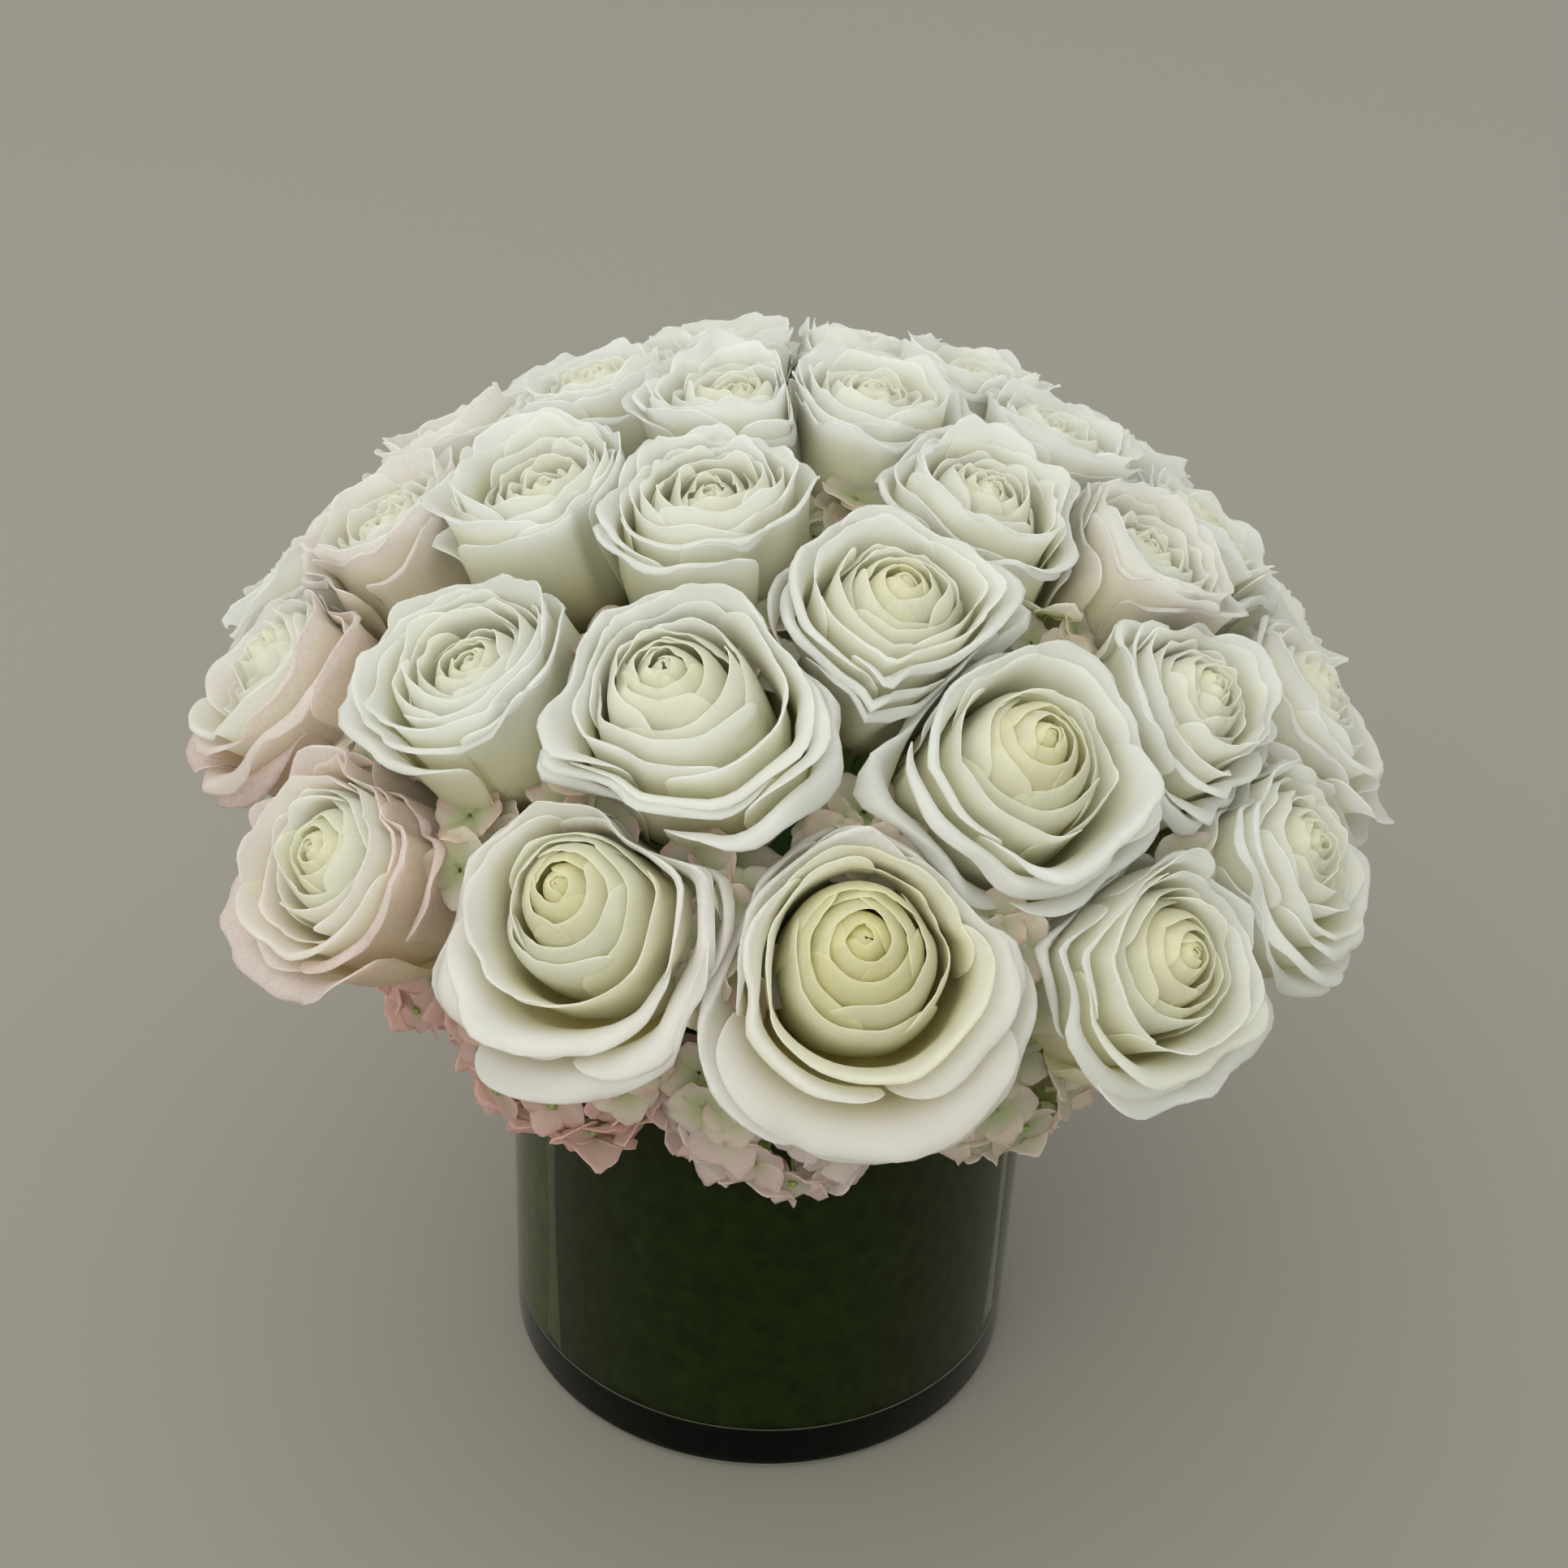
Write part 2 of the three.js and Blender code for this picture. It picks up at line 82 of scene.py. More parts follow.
# %% [markdown]
# Every piece here is a mesh worked out point by point, so a few helpers turn arrays into Blender meshes. A
# petal or leaf is a thin sheet: a grid of points, thickened both ways along its normals and closed round its
# edge. A solidify modifier could do that too, but here each point has its own thickness and its own values
# for the materials to read.

# %% Helpers for meshes
SMALLEST = 1e-9
NEARLY_NOTHING = 1e-3
OFF_EVERY_STEM = (0.31, 0.17, 0.93)  # a direction that no stem or stalk follows


def unit(vectors):
    return vectors / np.maximum(np.linalg.norm(vectors, axis=-1, keepdims=True), SMALLEST)


def mix(a, b, share):
    return a + (b - a) * share


def direction(azimuth, elevation):
    """The unit vector at so many degrees round from the front and up from level."""
    turn, rise = math.radians(azimuth), math.radians(elevation)
    return np.array([math.sin(turn) * math.cos(rise), -math.cos(turn) * math.cos(rise), math.sin(rise)])


def frame_about(axis):
    """Two unit vectors square to an axis: one level, and one that points as far up as it can."""
    across = np.cross(UP, axis)
    if np.linalg.norm(across) < NEARLY_NOTHING:
        across = np.array([1.0, 0.0, 0.0])
    across = unit(across)
    return across, unit(np.cross(axis, across))


def make_piece(name, parts, material, replaces=None):
    """One object from parts, each a dict with points, quads and values by attribute name."""
    points = np.concatenate([part["points"] for part in parts])
    starts = np.cumsum([0] + [len(part["points"]) for part in parts])
    quads = np.concatenate([part["quads"] + start for part, start in zip(parts, starts)])
    mesh = bpy.data.meshes.new(name)
    mesh.from_pydata((points * MM).tolist(), [], quads.tolist())
    smooth = [part.get("smooth", np.ones(len(part["quads"]), bool)) for part in parts]
    mesh.polygons.foreach_set("use_smooth", np.concatenate(smooth))
    for key in parts[0]["values"]:
        values = np.concatenate([part["values"][key] for part in parts])
        layer = mesh.attributes.new(key, "FLOAT", "POINT")
        layer.data.foreach_set("value", values.astype(np.float32))
    mesh.materials.append(material)
    mesh.validate()
    piece = bpy.data.objects.new(name, mesh)
    bpy.context.scene.collection.objects.link(piece)
    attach(piece, "root")
    if replaces:
        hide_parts(replaces)


def sheet_quads(columns, rows):
    """The quads of one closed sheet: its face, its back, and the unsmoothed strip round its edge."""
    index = np.arange(columns * rows).reshape(columns, rows)
    face = np.stack([index[:-1, :-1], index[1:, :-1], index[1:, 1:], index[:-1, 1:]], -1).reshape(-1, 4)
    back = face[:, ::-1] + columns * rows
    border = np.concatenate([index[:, 0], index[-1, 1:], index[-2::-1, -1], index[0, -2:0:-1]])
    after = np.roll(border, -1)
    edge = np.stack([after, border, border + columns * rows, after + columns * rows], -1)
    smooth = np.arange(2 * len(face) + len(edge)) < 2 * len(face)
    return np.concatenate([face, back, edge]), smooth


def thicken(grids, thickness, values):
    """Closes grids of points, shaped (sheets, columns, rows, 3), into sheets of a given thickness."""
    along_columns = np.gradient(grids, axis=1)
    along_rows = np.gradient(grids, axis=2)
    normals = unit(np.cross(along_columns, along_rows))
    half = np.broadcast_to(thickness, grids.shape[:3])[..., None] / 2
    both = np.stack([grids + normals * half, grids - normals * half], 1)
    count, columns, rows = grids.shape[:3]
    quads, smooth = sheet_quads(columns, rows)
    offsets = np.arange(count)[:, None, None] * 2 * columns * rows
    doubled = {
        key: np.repeat(np.broadcast_to(value, grids.shape[:3])[:, None], 2, axis=1).reshape(-1)
        for key, value in values.items()
    }
    return {
        "points": both.reshape(-1, 3),
        "quads": (quads[None] + offsets).reshape(-1, 4),
        "smooth": np.tile(smooth, count),
        "values": doubled,
    }


def ring_part(points, sides, values):
    """A part from rings of points, shaped (rings, sides, 3), each joined to the next."""
    index = np.arange(points.shape[0] * sides).reshape(-1, sides)
    onward = np.roll(index, -1, axis=1)
    quads = np.stack([index[:-1], onward[:-1], onward[1:], index[1:]], -1).reshape(-1, 4)
    return {
        "points": points.reshape(-1, 3),
        "quads": quads,
        "values": {key: np.full(index.size, value) for key, value in values.items()},
    }


def sweep(centres, radii, sides, values):
    """A closed tube with a radius for each centre. A radius of nearly nothing closes its ends."""
    centres = np.asarray(centres, float)
    ahead = unit(np.gradient(centres, axis=0))
    across = unit(np.cross(ahead, unit(np.array(OFF_EVERY_STEM))))
    beside = np.cross(ahead, across)
    turn = np.linspace(0, 2 * np.pi, sides, endpoint=False)[None, :, None]
    ring = np.cos(turn) * across[:, None] + np.sin(turn) * beside[:, None]
    points = centres[:, None] + ring * np.asarray(radii, float)[:, None, None]
    return ring_part(points, sides, values)


def smooth_through(knots, share):
    """A smooth curve through knots, shaped (..., knots), read at shares of its length from 0 to 1."""
    last = knots.shape[-1] - 1
    place = np.clip(share, 0, 1) * last
    start = np.minimum(place.astype(int), last - 1)
    f = place - start
    knots = np.broadcast_to(knots, share.shape[:-1] + knots.shape[-1:])

    def pick(step):
        return np.take_along_axis(knots, np.clip(start + step, 0, last), -1)

    before, here, there, beyond = pick(-1), pick(0), pick(1), pick(2)
    bend = 2 * before - 5 * here + 4 * there - beyond
    twist = 3 * (here - there) + beyond - before
    return here + 0.5 * f * (there - before + f * (bend + f * twist))


print("quads in a closed sheet of 3 by 3 points:", len(sheet_quads(3, 3)[0]))

# %% [markdown]
# A bloom's stem points at one focus inside the vase, and the bloom keeps to the cone of space that its
# neighbours leave it. The table lists each rose by its place, its size, how open it is, and how much its face
# turns up and to the right of its stem's line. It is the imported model's own table. The shorter lists after
# it say in what a single rose differs from the rest.

# %% The table of roses
FOCUS = np.array([0.0, 0.0, 128.0])
DOME_RADIUS = 180.0
BLOOM_HEIGHT = 52.0
MEAN_ROSE = 60.0
GAP = 0.3
SKIRT_EDGE = 19.0
STEM_RADIUS = 2.5
STEM_SHORTEST = 22.0
STEM_CLEARANCE = 0.35

ROSE_TABLE = [
    # number, round, up, diameter, open, looks up, looks right: the lowest ring, from the front's left
    (6, -73, 37, 66, 0.7, 6, -5),
    (1, -45, 30.5, 62, 0.55, 7, -5),
    (2, -17, 34, 70, 0.8, 8, -5),
    (3, 8.5, 31.5, 74, 0.85, 12, -3),
    (4, 36, 27.5, 66, 0.7, 10, 4),
    (5, 58, 30, 60, 0.6, 8, 5),
    (12, 80, 35, 64, 0.7, 8, 4),
    (19, 104, 33, 62, 0.6, 8, 0),
    (29, 129, 31, 62, 0.7, 10, 4),
    (30, 154, 33, 62, 0.7, 8, -4),
    (31, 179, 30, 66, 0.8, 12, 0),
    (32, -155, 33, 62, 0.7, 9, 3),
    (33, -127, 34, 64, 0.7, 8, -3),
    (28, -99, 36, 62, 0.6, 6, 0),
    # the middle ring
    (13, -81, 51, 56, 0.4, 4, -3),
    (7, -41, 47.5, 60, 0.45, -5, -7),
    (8, -12, 51, 72, 0.7, 6, -4),
    (10, 29, 46.5, 74, 1, 4, 2),
    (11, 56, 46, 58, 0.6, 4, 2),
    (18, 93, 51, 56, 0.5, 5, 0),
    (34, 120, 52, 58, 0.6, 6, 3),
    (35, 146, 52, 58, 0.7, 5, 0),
    (36, 172, 50, 60, 0.7, 7, -3),
    (37, -162, 52, 58, 0.6, 6, 3),
    (38, -134, 54, 58, 0.6, 5, 0),
    (20, -107, 55, 54, 0.5, 4, -3),
    # the upper ring
    (14, -61, 64, 56, 0.3, 4, -3),
    (15, -23, 70.5, 54, 0.3, 4, 0),
    (9, 17, 61.5, 62, 0.6, 5, 2),
    (16, 50, 69.5, 56, 0.6, 2, 0),
    (17, 71, 57, 56, 0.4, 4, 3),
    (25, 97, 67, 52, 0.4, 3, 0),
    (24, 130, 70, 52, 0.4, 3, 0),
    (27, 166, 69, 54, 0.6, 4, 0),
    (26, -158, 70, 54, 0.5, 3, 0),
    (21, -112, 70, 54, 0.5, 2, 0),
    # the crown
    (22, -70, 84, 52, 0.4, 0, 0),
    (23, 78, 84, 56, 0.7, 0, 0),
]
# How strongly the outer petals of a rose are tinged with pink: the front left of the dome.
BLUSH = {1: 0.65, 6: 0.65, 2: 0.14, 3: 0.14, 13: 0.3, 20: 0.2, 17: 0.2, 12: 0.12}
# How yellow a rose's heart is. The front roses are the freshest and the warmest.
WARMTH = {3: 1.0, 2: 0.75, 10: 0.6, 9: 0.5, 4: 0.6, 8: 0.35, 1: 0.5, 5: 0.4}
USUAL_WARMTH = 0.3
# Petals that hang further out than the rest: degrees round the face from its right, and mm.
LOOSE_PETALS = {10: (176, 13.0), 8: (-28, 9.0), 1: (150, 3.0), 3: (-80, 3.0), 2: (-110, 3.0)}
LOOSE_PETALS |= {6: (-120, 5.0)}
LOOSE_WIDTH = math.radians(26)
# How far a heart sits to the right of the middle of its rose, and above it, mm.
HEART_SHIFT = {2: (-3.0, 2.5), 3: (-0.5, 2.0), 10: (-2.0, 1.5), 8: (-5.0, 1.5), 9: (0.5, -1.0)}
HEART_SHIFT |= {4: (1.5, 0.0)}
# How crumpled the hearts are. The neat ones are wound in a clear spiral.
NEAT = (1, 2, 3, 4, 9, 10)
CRUMPLED = {8: 0.75, 7: 0.4, 15: 1.0, 14: 1.0, 17: 1.0, 13: 0.9, 6: 0.8, 11: 0.8, 12: 0.6, 16: 0.9, 5: 0.5}
USUAL_CRUMPLE = 0.6
# Roses whose petals stand closer, or lie wider open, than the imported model's rounded blooms need.
OPENNESS = {14: 0.0, 15: 0.0, 17: 0.1, 13: 0.15, 16: 0.3, 7: 0.0, 8: 0.35, 20: 0.2, 24: 0.2, 25: 0.2}
OPENNESS |= {21: 0.3, 22: 0.15, 23: 0.35, 26: 0.3, 27: 0.3}
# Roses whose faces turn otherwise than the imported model's: degrees up and to the right.
FACES = {7: (13, -10), 14: (8, -3), 8: (12, -7), 15: (7, 0), 13: (8, -3)}


def read_rose(row):
    number, azimuth, elevation, diameter, openness, look_up, look_right = row
    height = BLOOM_HEIGHT * (0.5 + 0.5 * diameter / MEAN_ROSE)
    look_up, look_right = FACES.get(number, (look_up, look_right))
    stem_line = direction(azimuth, elevation)
    return {
        "number": number,
        "name": f"rose_{number:02d}",
        "outward": direction(azimuth, 0),
        "stem_line": stem_line,
        "spread": math.asin(diameter / 2 / DOME_RADIUS),
        "diameter": diameter,
        "open": OPENNESS.get(number, openness),
        "height": height,
        "base_distance": DOME_RADIUS - height,
        "base": FOCUS + stem_line * (DOME_RADIUS - height),
        "axis": direction(azimuth + look_right, min(90, elevation + look_up)),
        "blush": BLUSH.get(number, 0.0),
        "warmth": WARMTH.get(number, USUAL_WARMTH),
        "loose": LOOSE_PETALS.get(number, (0, 0.0)),
        "heart": HEART_SHIFT.get(number, (0.0, 0.0)),
        "crumple": 0.0 if number in NEAT else CRUMPLED.get(number, USUAL_CRUMPLE),
    }


ROSES = [read_rose(row) for row in ROSE_TABLE]
print("roses:", len(ROSES))

# %% [markdown]
# Crowded petals lean on their neighbours, so the border between two roses is no flat wall. Each pair of
# roses shares a flat side of their two cones, with one wavy offset that both of them read. A petal that would
# cross it is held back the more, the nearer it comes, and what can't go outwards rises a little instead.

# %% The space that each bloom has
BORDER_WAVE = 3.4
BORDER_WAVELENGTH = 34.0
LONG_BORDERS = ((22, 23), (26, 27))  # these run straight away from the front, and would show as a slot
LONG_WAVE = 2.2  # how much longer and higher their wave is
CORNER_SOFTNESS = 2.2
NEIGHBOURS = 12
REACH_LIMITS = (0.5, 90.0)
WAVE_ROUNDS = 2  # how often the border is looked up again from where the last look ended
LEAST_ROOM = 1.0
PRESS = 1.2
ROUNDNESS = 1.11  # how far an open bloom reaches, in its own half widths, where no neighbour stops it
HANGING = 0.13  # and how much more its lower side hangs open than its upper side
TUCK = 7.0  # how far the lowest petals slip under the rims of their neighbours
TUCK_FROM, TUCK_HEIGHT = 1.25, 0.6  # the tuck fades out up this share of the bloom's height
LEAN_CURVE = 1.3  # above 1, the middle of a bloom leans less than its rim
FREE_SHARE = 0.86  # of the room that a petal may take before its neighbours press on it
PUSHED_UP = 0.35  # how much of what they press back rises instead


def cone_of(rose):
    """A rose's cone: inward normals, and for each the shared wave's sign, vectors and phases."""
    others = sorted(
        (other for other in ROSES if other is not rose),
        key=lambda other: -float(other["stem_line"] @ rose["stem_line"]),
    )[:NEIGHBOURS]
    normals, signs, waves, phases = [], [], [], []
    for other in others:
        here = rose["stem_line"] / math.cos(rose["spread"])
        there = other["stem_line"] / math.cos(other["spread"])
        normals.append(unit(here - there))
        low, high = sorted((rose["number"], other["number"]))
        stretch = LONG_WAVE if (low, high) in LONG_BORDERS else 1.0
        signs.append(stretch if rose["number"] == low else -stretch)
        draw = np.random.default_rng(low * 100 + high)
        waves.append(unit(draw.normal(size=(2, 3))) * 2 * math.pi / (BORDER_WAVELENGTH * stretch))
        phases.append(draw.uniform(0, 2 * math.pi, 2))
    edge = math.radians(SKIRT_EDGE)
    normals.append(UP * math.cos(edge) - rose["outward"] * math.sin(edge))
    signs.append(0.0)
    waves.append(np.ones((2, 3)))
    phases.append(np.zeros(2))
    return np.array(normals), np.array(signs), np.array(waves), np.array(phases)


def border_offset(cone, points):
    """How far each shared border is pushed off its flat side at these points, shaped (points, sides)."""
    _, signs, waves, phases = cone
    first, second = (np.sin(points @ waves[:, k].T + phases[:, k]) for k in range(2))
    return signs * BORDER_WAVE * first * second


def room_along(cone, centres, headings):
    """How far each point may go from its centre along its heading before it meets a border."""
    normals = cone[0]
    closing = -headings @ normals.T
    clear = (centres - FOCUS) @ normals.T - GAP / 2
    safe = np.maximum(closing, NEARLY_NOTHING)
    reach = np.clip(clear / safe, *REACH_LIMITS)
    for _ in range(WAVE_ROUNDS):
        nearest = reach.min(axis=1, keepdims=True)
        offset = border_offset(cone, centres + headings * nearest)
        reach = np.clip((clear - offset) / safe, *REACH_LIMITS)
    return -CORNER_SOFTNESS * np.log(np.exp(-reach / CORNER_SOFTNESS).sum(axis=1))


def hold_inside(rose, cone, angle, radius, height):
    """Points of a bloom from their angle, radius and height about its axis, held inside its cone."""
    across, upward = frame_about(rose["axis"])
    headings = np.cos(angle)[:, None] * across + np.sin(angle)[:, None] * upward
    centres = rose["base"] + height[:, None] * rose["axis"]
    low = np.clip(TUCK_FROM - height / (TUCK_HEIGHT * rose["height"]), 0, 1)
    room = room_along(cone, centres, headings) + TUCK * low
    natural = rose["diameter"] / 2 * (ROUNDNESS - HANGING * np.sin(angle))
    from_loose = np.angle(np.exp(1j * (angle - math.radians(rose["loose"][0]))))
    natural = natural + rose["loose"][1] * np.exp(-((from_loose / LOOSE_WIDTH) ** 2))
    room = -CORNER_SOFTNESS * np.log(np.exp(-room / CORNER_SOFTNESS) + np.exp(-natural / CORNER_SOFTNESS))
    room = np.maximum(room, LEAST_ROOM)
    full_radius = rose["diameter"] / 2 * PRESS
    lean = room / full_radius
    radius = radius * mix(1, lean, np.minimum(radius / full_radius, 1) ** LEAN_CURVE)
    share = radius / room
    rest = 1 - FREE_SHARE
    eased = FREE_SHARE + rest * (1 - np.exp(-np.maximum(share - FREE_SHARE, 0) / rest))
    held = np.where(share > FREE_SHARE, eased, share) * room
    lifted = PUSHED_UP * (radius - held)
    return centres + headings * held[:, None] + lifted[:, None] * rose["axis"]


print("sides of one rose's cone:", len(cone_of(ROSES[0])[0]))

# %% [markdown]
# A rose has 24 petals here, each a golden turn from the last, as a rose grows them. The heart is wound tight
# and closed, the middle petals stand as a cup, and the outer ones lie back with their tips rolled under.
# Sculpting each by hand would take days and couldn't be changed later, so one loop makes them all, and reads
# every measure from where a petal comes between the innermost and the outermost. A bud and a full bloom have
# tables of their own, and a rose is mixed from both.

# %% Petals of a rose
PETAL_STEPS = np.linspace(0, 1, 11)  # from the innermost petal to the outermost
FULL_BLOOM = {
    "rim": [0.00, 0.07, 0.14, 0.21, 0.29, 0.36, 0.58, 0.70, 0.88, 1.00, 1.12],
    "belly": [0.12, 0.20, 0.27, 0.34, 0.40, 0.44, 0.50, 0.54, 0.58, 0.62, 0.66],
    "crest": [1.00, 0.985, 0.955, 0.92, 0.88, 0.86, 0.90, 0.87, 0.80, 0.71, 0.60],
    "droop": [0.00, 0.00, 0.00, 0.00, 0.00, 0.00, 0.02, 0.04, 0.06, 0.08, 0.10],
    "reflex": [0.0, 0.0, 0.0, 0.0, 0.0, 0.1, 0.8, 1.0, 1.0, 1.0, 1.0],
    "half_turn": [172, 112, 98, 92, 88, 86, 82, 77, 73, 69, 66],
}
CLOSED_BUD = {
    "rim": [0.01, 0.08, 0.15, 0.23, 0.33, 0.43, 0.55, 0.64, 0.72, 0.80, 0.92],
    "belly": [0.14, 0.22, 0.30, 0.37, 0.44, 0.50, 0.56, 0.62, 0.66, 0.70, 0.74],
    "crest": [0.81, 0.81, 0.82, 0.83, 0.84, 0.865, 0.89, 0.91, 0.905, 0.88, 0.82],
    "droop": [0.00, 0.00, 0.00, 0.00, 0.00, 0.00, 0.01, 0.02, 0.03, 0.05, 0.08],
    "reflex": [0.0, 0.0, 0.0, 0.0, 0.1, 0.2, 0.25, 0.3, 0.35, 0.45, 0.7],
    "half_turn": [150, 108, 98, 94, 90, 88, 86, 84, 80, 74, 66],
}
# A petal's line from root to tip, seen from the side, upright and laid back: knots out to the belly, knots
# from the belly to the rim, and knots up to the crest, with how much of the droop each takes.
OUT_TO_BELLY = np.array([0.05, 0.66, 1.0])
OUT_TO_RIM = np.array([0.06, 0.34, 0.78]), np.array([0.20, 0.47, 0.78])
UP_TO_CREST = (
    np.array([0.02, 0.13, 0.42, 0.75, 0.905, 0.985, 1.0]),
    np.array([0.02, 0.13, 0.42, 0.73, 0.92, 0.99, 1.0]),
)
DROOPING = np.array([0.0, 0.0, 0.0, 0.0, 0.0, 0.25, 1.0])
PETALS = 24
OUTER_CURVE = 1.5  # above 1, only the last petals look like outer ones
FREEDOM = 1.5  # petals from two thirds of the way out differ in full
GOLDEN_TURN = math.radians(137.5)
COLUMNS, ROWS = 37, 13
EDGE_CROWDING = 1.25  # how much closer the columns come at a petal's side edges, up to a quarter turn
TIP_CROWDING = 1.35  # above 1, the rows come closer together at the tip
THICKNESS = 0.32
LEAST_RADIUS = 0.3
THICK_AND_THIN = (0.8, 1.15, 0.45)  # the innermost petal, the outermost, and what a tip loses
# How much the petals of one rose differ, as a share, or in mm or radians.
VARY = {"rim": 0.03, "outer rim": 0.09, "crest mm": 3.2, "droop": 0.7, "half turn": 0.08, "point": 0.8}
VARY |= {"squareness": 0.5, "lean": 0.06, "sharpness": 1.2, "roll": 0.7, "waves": 0.25, "crease": 0.5}
VARY |= {"crease mm": 1.1, "turn": 0.16, "blush": 0.25, "shade": 0.5}
LIP = (0.1, 1.0)  # how far a rim curls out over its edge, from the heart to the outside, mm
TIP_POINT, TIP_WIDTH = 0.03, 0.16
SQUARENESS = 2.7  # 2 is a half ellipse, and more has squarer shoulders
SIDE_LENGTH = 0.5  # how long a petal is at its side edges, as a share of its middle
HEART_SIDE_LENGTH = 0.95  # the same for the innermost petal, which closes the heart
HEART_ENDS = 8  # the innermost petal is at 0, and from an eighth of the way the usual length holds
TILT = (0.7, 2.6)  # how much one side of a petal may stand higher than the other, mm
WRAPPING = (0.4, 0.16)  # where the petals that wrap the heart come, and how far to either side
WRAP_TILT = 4.0  # how far a petal that wraps the heart slopes down to its outer side edge, mm
OVERLAP = (0.9, 2.2)  # how far a petal's side edges lie outside and inside its neighbours, mm
LEAST_OVERLAP = 0.1  # as a share of that, for the innermost petal
ROLL, ROLL_SHARPNESS, ROLLED_OUT = (0.1, 2.4), 3.2, 0.6  # how the side edges roll under, mm
TIGHT_HEART = 6  # from a sixth of the way the petals overlap and crumple in full
CREASE_WIDTH = 0.07
NARROW_ROOT, WIDE_FROM = 0.62, 0.6
SAG = 5.0  # how far the lowest petals hang, mm
HEART_MOVES = (1.3, 1.9)  # the innermost petals follow the heart's shift in full, and the outer ones less
ROOT_STAYS = 1.5  # the lowest two thirds of a petal follow it less and less towards the root
BLUSHING = (2.2, 1.1)  # only the outer half of the petals is tinged
# Waves across a petal, their height in a crumpled heart and in an outer petal, mm, and how near its rim
# they keep. A neat heart has only a trace of them.
NEAT_RIPPLE = 0.06
RIPPLES = [
    (1.4, 1.0, 2.0, 2.5),
    (3.1, 0.5, 1.1, 3.0),
    (5.3, 0.15, 0.8, 5.0),
    (10.5, 0.0, 0.35, 7.0),
    (2.4, 0.1, 0.9, 1.2),
]


def petal_grid():
    """Shares across a petal from -1 to 1 and from its root 0 to its tip 1, closer together at the edges."""
    across = np.sin(np.linspace(-1, 1, COLUMNS) * EDGE_CROWDING) / math.sin(EDGE_CROWDING)
    along = 1 - (1 - np.linspace(0, 1, ROWS)) ** TIP_CROWDING
    return across[None, :, None], along[None, None, :]


